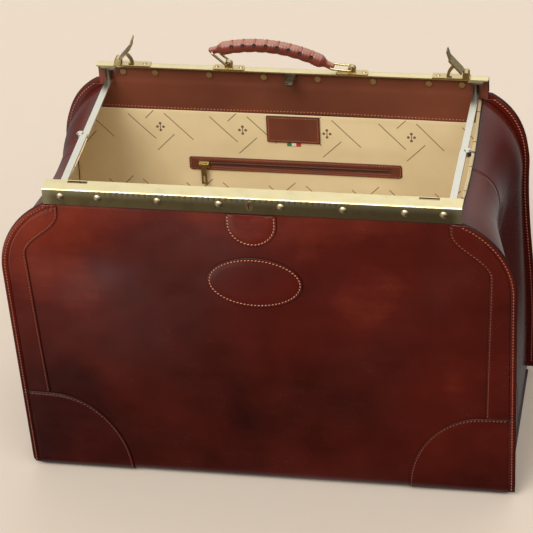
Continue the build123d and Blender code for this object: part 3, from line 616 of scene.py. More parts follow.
def cloth_finish(name, light, shade, ink=None):
    """Cotton lining: a fine twill, soft uneven tone and, where there is an ink, a sparse print of
    slanting strokes round a mark of four dots, laid out in metres on the cloth."""
    f = Finish(name)
    flat = f.read("cloth", "Vector")
    u, v, _ = flat.parts()
    soft = f.noise(flat, 16.0, 4.0, 0.6)
    fine = f.noise(flat, 700.0, 2.0, 0.6)
    colour = f.mix(soft.step(0.25, 0.8) * 0.8 + fine * 0.2, light, shade)
    warp = (u * (2 * math.pi / WARP_PITCH) + v * (2 * math.pi / WARP_PITCH)).math("SINE")
    weft = (v * (2 * math.pi / WEFT_PITCH)).math("SINE")
    weave = warp * 0.35 + weft * 0.2 + fine
    if ink:
        row = (v / PRINT_UP + 0.5).math("FLOOR")
        a = (u - row * PRINT_SHIFT).wrap(PRINT_ACROSS)
        b = v.wrap(PRINT_UP)
        print_share = None
        for centre_u, centre_v, slope, half in PRINT_STROKES:
            du = a - centre_u
            dv = b - centre_v
            length = ((du + dv * slope) * 0.7071).size()
            width = ((dv - du * slope) * 0.7071).size()
            stroke = (1 - width.step(0.00028, 0.00062)) * (1 - length.step(half - 0.001, half))
            print_share = stroke if print_share is None else print_share.most(stroke)
        near = (a.size() - 0.0034).math("POWER", 2.0) + b * b
        far = a * a + (b.size() - 0.0042).math("POWER", 2.0)
        dots = 1 - near.least(far).math("SQRT").step(0.0013, 0.0018)
        stem = (1 - a.size().step(0.0003, 0.0006)) * (1 - b.size().step(0.0044, 0.0050))
        ink_share = print_share.most(dots).most(stem) * (0.80 + fine * 0.2)
        colour = f.mix(ink_share, colour, ink)
    normal = f.bump(weave, 0.00012, 0.35)
    normal = f.bump(soft, 0.0016, 0.30, normal)
    return f.surface(
        Base_Color=colour, Roughness=0.82 - fine * 0.08, Normal=normal, Sheen_Weight=0.15,
        Sheen_Roughness=0.5, Specular_IOR_Level=0.25,
    )


# ---------------------------------------------------------------- finishes

# Brightest colour of the panel leather: reached partly where the dye clouds light, partly where the painted
# light brightens the top and the left end.
BRIGHT_DYE_AND_PAINTED_LIGHT = (0.215, 0.0270, 0.0105)

BRIDLE = leather_finish("bridle_leather", (0.022, 0.0018, 0.0009), (0.075, 0.0066, 0.0030), BRIGHT_DYE_AND_PAINTED_LIGHT)
TRIM = leather_finish("trim_leather", (0.026, 0.0020, 0.0010), (0.082, 0.0072, 0.0032), BRIGHT_DYE_AND_PAINTED_LIGHT)
GUSSET_HIDE = leather_finish(
    "gusset_leather", (0.050, 0.0050, 0.0035), (0.085, 0.0085, 0.0050), (0.13, 0.016, 0.009),
    lift=0.35, gloss=0.22, coat=0.35,
)
FACING_HIDE = leather_finish(
    "facing_leather", (0.115, 0.030, 0.017), (0.185, 0.052, 0.028), (0.26, 0.078, 0.043),
    lift=0.2, gloss=0.34, coat=0.20,
)
# Grip leather, painted lighter where it faces up: partly wear, partly a painted sheen of the light from
# above.
GRIP_HIDE = leather_finish(
    "grip_leather", (0.12, 0.020, 0.013), (0.20, 0.040, 0.026), (0.29, 0.070, 0.047),
    lift=0.3, gloss=0.36, coat=0.25, wear_and_sheen=(0.40, 0.20, 0.15),
)
LACE_HIDE = leather_finish(
    "lacing_leather", (0.34, 0.11, 0.08), (0.48, 0.18, 0.13), (0.60, 0.26, 0.20),
    lift=0.2, gloss=0.5, coat=0.05,
)
# Near-black leather for the lace holes: painted shade standing in for their depth.
HOLE_PAINTED_SHADE = leather_finish(
    "hole_painted_shade", (0.020, 0.004, 0.003), (0.035, 0.007, 0.005), (0.06, 0.012, 0.008),
    lift=0.1, gloss=0.5, coat=0.0,
)
THREAD = thread_finish("seam_thread", (0.58, 0.20, 0.11), (0.42, 0.12, 0.060))
DARK_THREAD = thread_finish("edge_thread", (0.34, 0.105, 0.055), (0.20, 0.050, 0.026))
PALE_THREAD = thread_finish("trim_thread", (0.66, 0.31, 0.20), (0.52, 0.19, 0.11))
LINING = cloth_finish("lining_cotton", (0.80, 0.65, 0.39), (0.72, 0.57, 0.32), ink=(0.085, 0.035, 0.022))
PLAIN_LINING = cloth_finish("pocket_cotton", (0.66, 0.52, 0.31), (0.56, 0.43, 0.24))
BRASS = metal_finish(
    "frame_brass", (0.84, 0.76, 0.46), (0.27, 0.205, 0.095), (0.13, 0.095, 0.045), 0.34, crest=jaw_high.z,
)
FITTING_BRASS = metal_finish(
    "fitting_brass", (0.66, 0.55, 0.30), (0.42, 0.33, 0.16), (0.14, 0.10, 0.05), 0.28,
)
RIVET_BRASS = metal_finish(
    "rivet_brass", (0.62, 0.50, 0.31), (0.54, 0.43, 0.26), (0.24, 0.17, 0.09), 0.40, grain=(90.0, 90.0, 90.0),
)
STEEL = metal_finish(
    "stay_steel", (0.74, 0.75, 0.68), (0.55, 0.55, 0.47), (0.30, 0.28, 0.22), 0.30, 0.6,
    grain=(260.0, 4.0, 260.0),
)
DARK_STEEL = metal_finish("dark_steel", (0.24, 0.21, 0.16), (0.13, 0.11, 0.085), (0.05, 0.04, 0.03), 0.38)
ZIP_METAL = metal_finish("zip_brass", (0.58, 0.47, 0.26), (0.42, 0.33, 0.18), (0.16, 0.11, 0.06), 0.32)
TEETH_METAL = metal_finish("teeth_brass", (0.22, 0.12, 0.08), (0.16, 0.08, 0.05), (0.07, 0.03, 0.02), 0.40)


def board_finish():
    """Grey fibre board: short flecks in two tones."""
    f = Finish("fibre_board")
    place = f.place()
    fleck = f.noise(f.stretch(place, (90.0, 300.0, 300.0)), 3.0, 4.0, 0.7)
    colour = f.shade(fleck, (0.10, 0.085, 0.065), (0.20, 0.17, 0.13), (0.30, 0.26, 0.20))
    return f.surface(Base_Color=colour, Roughness=0.88, Normal=f.bump(fleck, 0.0002, 0.4))


def ribbon_finish():
    """Woven ribbon in three bands, with fine ribs across it."""
    f = Finish("ribbon_weave")
    u = f.read("cloth", "Vector").parts()[0]
    band, blur = 0.0025, 0.00012
    colour = f.mix(u.step(-band - blur, -band + blur), (0.02, 0.20, 0.06), (0.75, 0.70, 0.60))
    colour = f.mix(u.step(band - blur, band + blur), colour, (0.48, 0.03, 0.03))
    ribs = (u * (2 * math.pi / 0.0005)).math("SINE")
    return f.surface(Base_Color=colour, Roughness=0.7 + ribs * 0.03, Normal=f.bump(ribs, 0.00008, 0.4))


def tape_finish():
    """Brown zip tape: a sine over the folded sum of the two places on it, which makes a herringbone."""
    f = Finish("zip_tape_weave")
    flat = f.read("cloth", "Vector")
    u, v, _ = flat.parts()
    bone = ((v.size() + u.wrap(0.0012).size()) * (2 * math.pi / 0.0007)).math("SINE")
    dust = f.noise(flat, 300.0, 3.0)
    tone = bone * 0.25 + dust * 0.6 + 0.1
    colour = f.shade(tone, (0.085, 0.022, 0.014), (0.14, 0.038, 0.025), (0.20, 0.060, 0.040))
    return f.surface(Base_Color=colour, Roughness=0.72 + dust * 0.1, Normal=f.bump(bone, 0.0001, 0.5))


BOARD = board_finish()
RIBBON = ribbon_finish()
TAPE = tape_finish()


# ---------------------------------------------------------------- riding

PANEL_BODY = {FRONT: "front_panel", BACK: "back_panel"}


def fold_with(piece):
    """The piece's placement is baked into its mesh."""
    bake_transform(piece)


def finish_piece(piece, slot, *nodes):
    """The piece stands in for the nodes, which are hidden; the slot is not used."""
    if nodes:
        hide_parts(*nodes)
    return piece


# ---------------------------------------------------------------- panels

def lip_relief(distance):
    """Relief of the sewn lip: a low roll by the edge, a groove under the stitches and a crease
    where the lip ends."""
    u = np.clip((distance - 0.0030) / 0.0030, -1, 1)
    roll = 0.0007 * (1 - u**2) ** 2
    groove = 0.00035 * np.exp(-(((distance - LIP_STITCH) / 0.0005) ** 2))
    crease = 0.0010 * np.exp(-(((distance - 0.0068) / 0.0006) ** 2))
    return roll - groove - crease


def make_panel(side):
    """Panel leather: rows up the profile from under the base to the jaw, columns across."""
    up = edged(PANEL_TOP - TUCK_V, 0.0035, PANEL_ROUND)
    v = (TUCK_V + (PANEL_TOP - TUCK_V) * up)[:, None]
    across = edged(2 * WIDEST, 0.0042, PANEL_ROUND)[None]
    half = outline_half(v)
    x = half * (2 * across - 1)
    edge = np.minimum(half - np.abs(x), np.minimum(v - TUCK_V, PANEL_TOP - v))
    middle = skin(side, x, v, -LEATHER / 2)
    rim = painted(edge, 0.0012)
    full = fullness(edge, PANEL_ROUND)
    piece = shell(f"{FACE[side]}_panel_leather", middle, LEATHER, full, BRIDLE, rim=rim)
    fold_with(piece)
    finish_piece(piece, "bridle_leather", f"{FACE[side]}_leather")


STRIP_TOP_HALF = 0.197
STRIP_SIDE_HALF = 0.236
STRIP_FOOT_HALF = 0.2295
STEP_TOP_V = 0.3334
STEP_FOOT_V = 0.2794
PATCH_TOP_V = 0.101
PATCH_CENTRE = 0.226
PATCH_HALF = 0.078
PATCH_MEAN_RADIUS = 0.088


def strip_inner(v):
    """Inner edge of a side strip: straight up the side, an S-shaped step in (a cubic curve with
    upright ends), then straight up."""
    rise = (v - PATCH_TOP_V) / (STEP_FOOT_V - PATCH_TOP_V)
    low = STRIP_FOOT_HALF + (STRIP_SIDE_HALF - STRIP_FOOT_HALF) * rise
    t = np.linspace(0, 1, 400)
    pull = 0.4 * (STEP_TOP_V - STEP_FOOT_V)
    ends = np.array([STEP_FOOT_V, STEP_FOOT_V + pull, STEP_TOP_V - pull, STEP_TOP_V])
    weight = np.stack([(1 - t) ** 3, 3 * t * (1 - t) ** 2, 3 * t**2 * (1 - t), t**3])
    wide = np.array([STRIP_SIDE_HALF, STRIP_SIDE_HALF, STRIP_TOP_HALF, STRIP_TOP_HALF])
    return np.where(v < STEP_FOOT_V, low, np.interp(v, ends @ weight, wide @ weight))


def make_side_strip(side, hand):
    """Overlay strip: rows up the side and columns from its inner edge out to the outline, lifted
    by the lip's relief."""
    foot = PATCH_TOP_V + 0.0003
    v = (foot + (OVERLAY_TOP - foot) * edged(OVERLAY_TOP - foot, 0.0024, OVERLAY_ROUND))[:, None]
    inner = strip_inner(v)
    x = inner + (outline_half(v) - inner) * two_steps(0.60, 0.03, 0.02, 0.018, 0.02)[None]
    slope = np.gradient(inner[:, 0], v[:, 0])[:, None]
    from_seam = (x - inner) / np.sqrt(1 + slope**2)
    distance = np.maximum(from_outline(x, v), 0)
    edge = np.minimum(np.minimum(from_seam, distance), np.minimum(v - foot, OVERLAY_TOP - v))
    relief = lip_relief(distance) - stitch_groove(from_seam, SEAM_STITCH)
    middle = skin(side, hand * x, v, OVERLAY / 2 + relief)
    rim = painted(np.minimum(from_seam, distance))
    full = fullness(edge, OVERLAY_ROUND)
    piece = shell(f"{FACE[side]}_side_strip_leather_{END[hand]}", middle, OVERLAY, full, TRIM, rim=rim)
    fold_with(piece)
    finish_piece(piece, "bridle_leather", f"{FACE[side]}_side_strip_{END[hand]}")


def make_corner_patch(side, hand):
    """Corner patch: rows swept up a quarter ellipse from its inner edge out to the outline, and
    on below its centre under the rolled foot."""
    low = -0.0075
    arc_rows = np.linspace(0, np.pi / 2, 46)
    foot_rows = np.linspace(low, 0, 8)[:-1]
    v = np.concatenate([foot_rows, PATCH_TOP_V * np.sin(arc_rows)])[:, None]
    bulge = np.concatenate([np.ones(foot_rows.size), np.cos(arc_rows)])[:, None]
    inner = PATCH_CENTRE - PATCH_HALF * bulge
    outer = outline_half(v)
    x = inner + (outer - inner) * two_steps(0.62, 0.03, 0.012, 0.012, 0.006)[None]
    radial = np.hypot((x - PATCH_CENTRE) / PATCH_HALF, np.maximum(v, 0) / PATCH_TOP_V)
    from_arc = np.where(x < PATCH_CENTRE, (1 - radial) * PATCH_MEAN_RADIUS, PATCH_TOP_V - v)
    from_arc = np.maximum(from_arc, 0)
    from_arc[:, 0] = 0
    distance = np.maximum(np.minimum(from_outline(x, v), outer - x), 0)
    edge = np.minimum(np.minimum(from_arc, distance), v - low)
    relief = lip_relief(from_outline(x, v)) * (v > 0.004) - stitch_groove(from_arc, SEAM_STITCH)
    middle = skin(side, hand * x, v, OVERLAY / 2 + relief)
    rim = painted(np.minimum(from_arc, distance))
    full = fullness(edge, OVERLAY_ROUND)
    piece = shell(f"{FACE[side]}_corner_patch_leather_{END[hand]}", middle, OVERLAY, full, TRIM, rim=rim)
    fold_with(piece)
    finish_piece(piece, "bridle_leather", f"{FACE[side]}_corner_patch_{END[hand]}")


def polar_patch(name, centre_v, radius_at):
    """Overlay about a centre on the front panel: rings shrink from its edge to the middle, with
    a groove under the stitches and a soft crown."""
    turn = np.linspace(0, 2 * np.pi, 97)[:, None]
    reach = radius_at(turn)
    outer_rings = [0.90, 0.92, 0.94, 0.955, 0.97, 0.98, 0.99, 0.996, 1.0]
    rings = np.concatenate([np.linspace(0, 0.88, 14), outer_rings])[None]
    x = reach * np.cos(turn) * rings
    v = centre_v + reach * np.sin(turn) * rings
    edge = reach * (1 - rings)
    relief = 0.0004 * np.clip(edge / 0.008, 0, 1) - stitch_groove(edge, OVAL_STITCH)
    middle = skin(FRONT, x, v, OVERLAY / 2 + relief)
    return shell(name, middle, OVERLAY, fullness(edge, OVERLAY_ROUND), TRIM, rim=painted(edge))


OVAL_HALF = 0.049
OVAL_RISE = 0.030
OVAL_V = 0.2624
TAB_HALF = 0.026
TAB_V = 0.332


def oval_radius(turn, inset=0.0):
    """Radius of the oval patch at an angle about its centre."""
    a, b = OVAL_HALF - inset, OVAL_RISE - inset
    return a * b / np.hypot(b * np.cos(turn), a * np.sin(turn))


def tab_radius(turn, inset=0.0):
    """Radius of the lock tab: a half circle below its centre and a squared top under the jaw."""
    half = TAB_HALF - inset
    to_side = half / np.maximum(np.abs(np.cos(turn)), 1e-6)
    to_top = (OVERLAY_TOP - TAB_V) / np.maximum(np.sin(turn), 1e-6)
    return np.where(np.sin(turn) < 0, half, np.minimum(to_side, to_top))


for side in (FRONT, BACK):
    make_panel(side)
    for hand in (LEFT, RIGHT):
        make_side_strip(side, hand)
        make_corner_patch(side, hand)

oval = polar_patch("name_oval_leather", OVAL_V, oval_radius)
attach(oval, "front_panel")
finish_piece(oval, "bridle_leather", "name_oval")
tab = polar_patch("lock_tab_leather", TAB_V, tab_radius)
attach(tab, "front_panel")
finish_piece(tab, "bridle_leather", "lock_tab")


# ---------------------------------------------------------------- base

def level_grid(half_x, half_y, step, edge_round):
    """Grid of a level rectangle as x and y, and the distance of its points from the nearest side."""
    across = edged(2 * half_x, step, edge_round)[None]
    along = edged(2 * half_y, step, edge_round)[:, None]
    x = half_x * (2 * across - 1) + 0 * along
    y = half_y * (2 * along - 1) + 0 * across
    return x, y, np.minimum(half_x - np.abs(x), half_y - np.abs(y))


def make_base():
    """Base leather: a flat slab with round edges inside the rolled feet of the panels."""
    thickness, edge_round, lift = 0.0029, 0.0014, 0.00005
    x, y, edge = level_grid(base_high.x - 0.0015, HALF_DEPTH - 0.0072, 0.012, edge_round)
    middle = np.stack([x, y, np.full_like(x, thickness / 2 + lift)], -1)
    full = fullness(edge, edge_round)
    piece = shell("base_slab_leather", middle, thickness, full, BRIDLE, rim=painted(edge, 0.002))
    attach(piece, "bag_base")
    finish_piece(piece, "bridle_leather", "base_leather")


def make_base_lining():
    """Cloth laid on the board: level, with low waves made of two crossed sines that fade at its
    sides."""
    low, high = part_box("base_lining")
    half_x, half_y = high.x - CLOTH, high.y - CLOTH
    x, y, edge = level_grid(half_x, half_y, 0.008, CLOTH_ROUND)
    waves = 1 + np.sin(30 * x + 12 * y) * np.cos(17 * y - 9 * x)
    folds = 0.0007 * waves * np.clip(edge / 0.02, 0, 1)
    middle = np.stack([x, y, (low.z + high.z) / 2 + 0.0001 + folds], -1)
    cloth = np.stack([x, y, 0 * x], -1)
    full = fullness(edge, CLOTH_ROUND)
    piece = shell("base_lining_cloth", middle, CLOTH, full, LINING, cloth=cloth)
    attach(piece, "bag_base")
    finish_piece(piece, "lining_cloth", "base_lining")


make_base()
make_base_lining()


# ---------------------------------------------------------------- gussets

GUSSET_TOP = 0.3374
GUSSET_BOW = 0.027
LIP_SHARES = np.array([0.15, 0.5, 1.2, 2.4, 4.0, 5.6, 6.6, 7.2, 7.6]) / 7.6


def close_borders(piece):
    """Closes the open border of a half wall with faces between its two sides."""
    work = bmesh.new()
    work.from_mesh(piece.data)
    border = [e for e in work.edges if e.is_boundary]
    bmesh.ops.holes_fill(work, edges=border, sides=0)
    bmesh.ops.triangulate(work, faces=[f for f in work.faces if len(f.verts) > 4])
    bmesh.ops.recalc_face_normals(work, faces=work.faces)
    work.to_mesh(piece.data)
    work.free()


def make_gusset_half(name, hand, side, inset, depth, foot, thickness, finish, lip=False):
    """Half of an end wall: rows up the outline and columns from the middle plane to the panel.
    The wall bows inwards by a raised cosine across the bag, more towards the top, where it also
    sags. With a lip, its last columns turn out along the panel."""
    v = (foot + (GUSSET_TOP - foot) * edged(GUSSET_TOP - foot, 0.0045, GUSSET_ROUND))[:, None]
    share = np.linspace(0, 1, 34)[None]
    y = (HALF_DEPTH + v * math.sin(LEAN) - depth) * share
    near_middle = 0.5 + 0.5 * np.cos(np.pi * share**1.15)
    grow = np.sin(np.pi * np.clip((v - foot) / (GUSSET_TOP - foot), 0, 1) ** 1.75) ** 1.3
    crumple = 0.0012 * np.sin(34 * v + 3.0 * share * hand) * np.sin(np.pi * share) ** 2 * grow
    level = np.clip((v - 0.285) / (GUSSET_TOP - 0.285), 0, 1) ** 2
    sag = 0.011 * near_middle * np.clip((v - 0.20) / 0.14, 0, 1) ** 2
    x = inset_half(v, inset) - GUSSET_BOW * near_middle * grow + 0.001 * near_middle * level + crumple
    x = x - pinch(side, v) * np.clip((share - 0.3) / 0.7, 0, 1) ** 2
    z = FOOT_Z + (v - sag) * math.cos(LEAN)
    if lip:
        out = inset_half(v, 0.0004) - pinch(side, v) - x[:, -1:]
        x = np.concatenate([x, x[:, -1:] + out * LIP_SHARES[None]], 1)
        y = np.concatenate([y, np.repeat(y[:, -1:], LIP_SHARES.size, 1) + 0.0001], 1)
        z = np.concatenate([z, np.repeat(z[:, -1:], LIP_SHARES.size, 1)], 1)
    middle = np.stack([hand * x, side * y, z], -1)
    full = fullness(np.minimum(v - foot, GUSSET_TOP - v) + 0 * y, GUSSET_ROUND)
    if lip:
        full[:, -1] = 0
        full[:, -2] *= 0.8
    rim = painted(GUSSET_TOP - v, 0.0015) + 0 * y
    cloth = np.stack([hand * side * y, v + 0 * y, 0 * y], -1)
    piece = shell(name, middle, thickness, full, finish, rim=rim, cloth=cloth)
    close_borders(piece)
    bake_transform(piece)
    return piece


for hand in (LEFT, RIGHT):
    for side in (FRONT, BACK):
        half = f"{END[hand]}_{FACE[side]}"
        wall = make_gusset_half(f"gusset_leather_{half}", hand, side, LIP + GUSSET / 2, LEATHER + GUSSET / 2,
                                0.0002, GUSSET, GUSSET_HIDE, lip=True)
        finish_piece(wall, "bridle_leather", f"gusset_{END[hand]}")
        inset = LIP + GUSSET + CLOTH / 2 + 0.0001
        wall = make_gusset_half(f"gusset_lining_cloth_{half}", hand, side, inset, LINING_DEPTH + CLOTH,
                                0.0030, CLOTH, LINING)
        finish_piece(wall, "lining_cloth", f"gusset_lining_{END[hand]}")


# ---------------------------------------------------------------- linings, facings, zip and label

PRINT_START = (0.0354, 0.0385)
FACING_FOOT_V = 0.3079
FACING_BEND = 0.3464
FACING_GAP = 0.0008


def make_lining(side):
    """Cloth lining of a panel: rows up its inner side from the base to under the facing, and
    columns across between the gussets."""
    foot, top = 0.0032, 0.3085
    v = (foot + (top - foot) * edged(top - foot, 0.0040, CLOTH_ROUND))[:, None]
    half = inset_half(v, LIP + GUSSET + CLOTH + 0.0004)
    x = half * (2 * edged(0.50, 0.0045, CLOTH_ROUND)[None] - 1)
    edge = np.minimum(half - np.abs(x), np.minimum(v - foot, top - v))
    middle = inside(side, x, v, LINING_DEPTH)
    cloth = np.stack([side * x - PRINT_START[0], v - PRINT_START[1] + 0 * x, 0 * x], -1)
    full = fullness(edge, CLOTH_ROUND)
    piece = shell(f"{FACE[side]}_lining_cloth", middle, CLOTH, full, LINING, cloth=cloth)
    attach(piece, PANEL_BODY[side])
    finish_piece(piece, "lining_cloth", f"{FACE[side]}_lining")


def facing_wave(x):
    """Wave of the facing's lower edge: a sine along the bag."""
    return 0.0009 * np.sin(21 * x + 0.8)


def make_facing(side):
    """Leather band inside the mouth: it lies behind the panel, then stands up inside the jaw,
    where it thickens to fill the hem. A smooth step over 6 mm of height joins the two."""
    foot = FOOT_Z + FACING_FOOT_V * math.cos(LEAN)
    top = hem_high.z
    z = (foot + (top - foot) * edged(top - foot, 0.0022, 0.0006))[:, None]
    half = hem_high.x
    x = half * (2 * edged(2 * half, 0.006, 0.0008)[None] - 1)
    height = z + facing_wave(x) * np.clip((0.325 - z) / 0.014, 0, 1)
    behind_panel = HALF_DEPTH + (height - FOOT_Z) * math.tan(LEAN) - LEATHER - FACING_GAP
    in_jaw = (abs(hem_low.y) + abs(hem_high.y)) / 2
    stand = np.clip((height - (FACING_BEND - 0.003)) / 0.006, 0, 1)
    stand = stand * stand * (3 - 2 * stand)
    y = side * (behind_panel * (1 - stand) + in_jaw * stand)
    thickness = 0.0013 * (1 - stand) + 0.0028 * stand
    edge = np.minimum(np.minimum(half - np.abs(x), z - foot), top - z)
    middle = np.stack([x + 0 * y, y, height], -1)
    full = fullness(edge, 0.0007)
    piece = shell(f"{FACE[side]}_mouth_facing", middle, thickness, full, FACING_HIDE, rim=painted(edge))
    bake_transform(piece)
    finish_piece(piece, "bridle_leather", f"{FACE[side]}_facing", f"{FACE[side]}_top_hem")


def flat_plate(name, low, high, depth, thickness, finish, step=0.004, edge_round=0.0005, corner=0.0):
    """Thin sewn piece on the inner side of the back panel: a grid between two corners given as x
    and v, whose rows are drawn in at the ends to round the corners."""
    v = (low[1] + (high[1] - low[1]) * edged(high[1] - low[1], step, edge_round))[:, None]
    x = (low[0] + (high[0] - low[0]) * edged(high[0] - low[0], step, edge_round))[None]
    middle_x, middle_v = (low[0] + high[0]) / 2, (low[1] + high[1]) / 2
    from_ends = np.minimum(v - low[1], high[1] - v)
    edge = np.minimum(np.minimum(x - low[0], high[0] - x), from_ends)
    if corner:
        cut = np.clip(corner - from_ends, 0, corner)
        pull = 1 - (corner - np.sqrt(corner**2 - cut**2)) / ((high[0] - low[0]) / 2)
        x = middle_x + (x - middle_x) * pull
    middle = inside(BACK, x + 0 * v, v + 0 * x, depth)
    cloth = np.stack([x - middle_x + 0 * v, v - middle_v + 0 * x, 0 * x + 0 * v], -1)
    return shell(name, middle, thickness, fullness(edge, edge_round), finish, rim=painted(edge), cloth=cloth)


CLOTH_FACE = LINING_DEPTH + CLOTH / 2
zip_low, zip_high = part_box("zip_surround")
slot_low, slot_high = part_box("zip_tape")
ZIP_V = ((zip_low.z + zip_high.z) / 2 - FOOT_Z) / math.cos(LEAN)
ZIP_HALF = zip_high.x
ZIP_RISE = (zip_high.z - zip_low.z) / 2
SLOT_HALF = slot_high.x
SLOT_RISE = (slot_high.z - slot_low.z) / 2
TAPE_MARGIN_X = 0.002
TAPE_MARGIN_V = 0.0022
TOOTH_PITCH = 0.0017
TOOTH_REACH = 0.0021


def rounded_loop(half_x, half_y, corner):
    """Points round a rectangle with round corners, the same number on each side of any size: a
    quarter circle about each corner's centre, then a straight line to the next."""
    turns = np.linspace(0, np.pi / 2, 7)
    corners = [(1, 1), (-1, 1), (-1, -1), (1, -1)]
    arcs = []
    for k, corner_signs in enumerate(corners):
        centre = np.array(corner_signs) * np.array([half_x - corner, half_y - corner])
        angle = turns + k * np.pi / 2
        arcs.append(centre + corner * np.stack([np.cos(angle), np.sin(angle)], -1))
    points = []
    for k, steps in enumerate([40, 5, 40, 5]):
        start, end = arcs[k][-1], arcs[(k + 1) % 4][0]
        points += [arcs[k], start + (end - start) * np.linspace(0, 1, steps + 1)[1:-1, None]]
    points.append(arcs[0][:1])
    return np.concatenate(points)


def make_zip_surround():
    """Leather frame of the zip: columns from the slot's loop out to the outer loop, slightly
    puffed between them."""
    outer = rounded_loop(ZIP_HALF, ZIP_RISE, 0.003)
    inner = rounded_loop(SLOT_HALF, SLOT_RISE, 0.0012)
    share = edged(ZIP_RISE - SLOT_RISE, 0.0007, 0.0005)[None, :, None]
    flat = inner[:, None] + (outer - inner)[:, None] * share
    width = np.linalg.norm(outer - inner, axis=1)[:, None]
    edge = np.minimum(share[..., 0], 1 - share[..., 0]) * width
    puff = 0.0004 * np.clip(edge / 0.002, 0, 1)
    middle = inside(BACK, flat[..., 0], ZIP_V + flat[..., 1], CLOTH_FACE + 0.0006 + puff)
    rim = painted(edge, 0.0008)
    piece = shell("zip_surround_leather", middle, 0.0011, fullness(edge, 0.0005), FACING_HIDE, rim=rim)
    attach(piece, "back_panel")
    finish_piece(piece, "bridle_leather", "zip_surround")


def make_zip_tape():
    """Woven tape behind the slot, with a margin under the surround."""
    half, rise = SLOT_HALF + TAPE_MARGIN_X, SLOT_RISE + TAPE_MARGIN_V
    tape = flat_plate("zip_tape_cloth", (-half, ZIP_V - rise), (half, ZIP_V + rise), CLOTH_FACE + 0.0002,
                      0.0005, TAPE, 0.002, 0.0003)
    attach(tape, "back_panel")
    finish_piece(tape, "lining_cloth", "zip_tape")


def make_zip_teeth():
    """Two rows of teeth, set alternately above and below the middle: each is a six-sided block of
    three rings, the last one smaller."""
    count = int(2 * SLOT_HALF / TOOTH_PITCH) - 2
    tooth = np.array([
        [-0.45, -0.1], [-0.45, 0.75], [-0.30, 1.0], [0.30, 1.0], [0.45, 0.75], [0.45, -0.1],
    ]) * np.array([TOOTH_PITCH * 0.52, TOOTH_REACH])
    heights = np.array([0.0, 0.0009, 0.0013])
    grow = np.array([1.0, 1.0, 0.72])
    centres = (np.arange(count) - (count - 1) / 2) * TOOTH_PITCH
    row = np.where(np.arange(count) % 2 == 0, 1.0, -1.0)
    x = centres[:, None, None] + tooth[None, None, :, 0] * grow[None, :, None]
    v = ZIP_V + row[:, None, None] * (tooth[None, None, :, 1] - 0.0007) * grow[None, :, None]
    depth = CLOTH_FACE + 0.0003 + heights[None, :, None] + 0 * x
    points = inside(BACK, x, v + 0 * x, depth).reshape(-1, 3)
    ring = np.arange(6)
    after = np.roll(ring, -1)
    walls = [np.stack([ring + k, after + k, after + k + 6, ring + k + 6], -1) for k in (0, 6)]
    caps = np.array([[12, 13, 14, 15], [12, 15, 16, 17], [3, 2, 1, 0], [5, 4, 3, 0]])
    one = np.concatenate(walls + [caps])
    faces = (one[None] + 18 * np.arange(count)[:, None, None]).reshape(-1, 4)
    teeth = make_piece("zip_teeth_rows", points, faces, TEETH_METAL, weld=0)
    teeth.data.polygons.foreach_set("use_smooth", [False] * len(teeth.data.polygons))
    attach(teeth, "back_panel")
    finish_piece(teeth, "zip_brass", "zip_teeth")


def make_pocket():
    """Cloth bag behind the zip, flat against the panel."""
    low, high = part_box("pocket_bag")
    pocket = flat_plate("pocket_bag_cloth", (low.x, low.z - FOOT_Z), (high.x, high.z - FOOT_Z - 0.001),
                        0.0029, 0.0010, PLAIN_LINING, 0.006, CLOTH_ROUND)
    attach(pocket, "back_panel")
    finish_piece(pocket, "lining_cloth", "pocket_bag")


def make_label():
    """Blank leather label under the facing, with a folded ribbon below it."""
    low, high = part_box("label_patch")
    low_v, high_v = (low.z - FOOT_Z) / math.cos(LEAN), (high.z - FOOT_Z) / math.cos(LEAN)
    label = flat_plate("label_patch_leather", (low.x, low_v), (high.x, high_v), CLOTH_FACE + 0.0012,
                       0.0014, FACING_HIDE, 0.002, 0.0006, corner=0.0015)
    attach(label, "back_panel")
    finish_piece(label, "bridle_leather", "label_patch")
    low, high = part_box("label_ribbon")
    ribbon = flat_plate("label_ribbon_loop", (low.x, low_v - 0.0047), (high.x, low_v + 0.003),
                        CLOTH_FACE + 0.0005, 0.0006, RIBBON, 0.001, 0.0003)
    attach(ribbon, "back_panel")
    finish_piece(ribbon, "ribbon", "label_ribbon")
    return low_v, high_v


for side in (FRONT, BACK):
    make_lining(side)
    make_facing(side)
make_zip_surround()
make_zip_tape()
make_zip_teeth()
make_pocket()
label_low, label_high = make_label()


# ---------------------------------------------------------------- stitching

STITCH_FOOT_V = 0.006
STITCH_TOP_V = OVERLAY_TOP - 0.002
FINE_WIDTH = 0.00050


def sew(name, side, x, v, lift, thread, surface=skin, inward=False, folds=False, **sizes):
    """Row of stitches along a line given as x and v on a panel, standing out along the line from
    each point to the one 1 mm further out, or the other way."""
    near = surface(side, x, v, lift)
    away = surface(side, x, v, lift + 0.001) - near
    away /= np.linalg.norm(away, axis=-1, keepdims=True)
    row = stitch_row(name, near, -away if inward else away, thread, **sizes)
    if folds:
        fold_with(row)
    else:
        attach(row, PANEL_BODY[side])


def sew_lip(side, hand):
    """Stitches of the lip on the panel's face, at one inset from the outline."""
    v = np.linspace(STITCH_FOOT_V, STITCH_TOP_V, 400)
    x = hand * inset_half(v, LIP_STITCH)
    name = f"{FACE[side]}_lip_stitches_{END[hand]}"
    sew(name, side, x, v, OVERLAY + 0.00035, THREAD, folds=True)


def sew_lip_inside(side, hand):
    """The lip's stitches where they come out on the gusset's turned edge."""
    v = np.linspace(STITCH_FOOT_V, GUSSET_TOP, 400)
    x = hand * inset_half(v, LIP_STITCH)
    name = f"{FACE[side]}_lip_inner_stitches_{END[hand]}"
    lift = -LEATHER - GUSSET - 0.0001
    sew(name, side, x, v, lift, THREAD, inward=True, folds=True, pitch=LONG_PITCH)


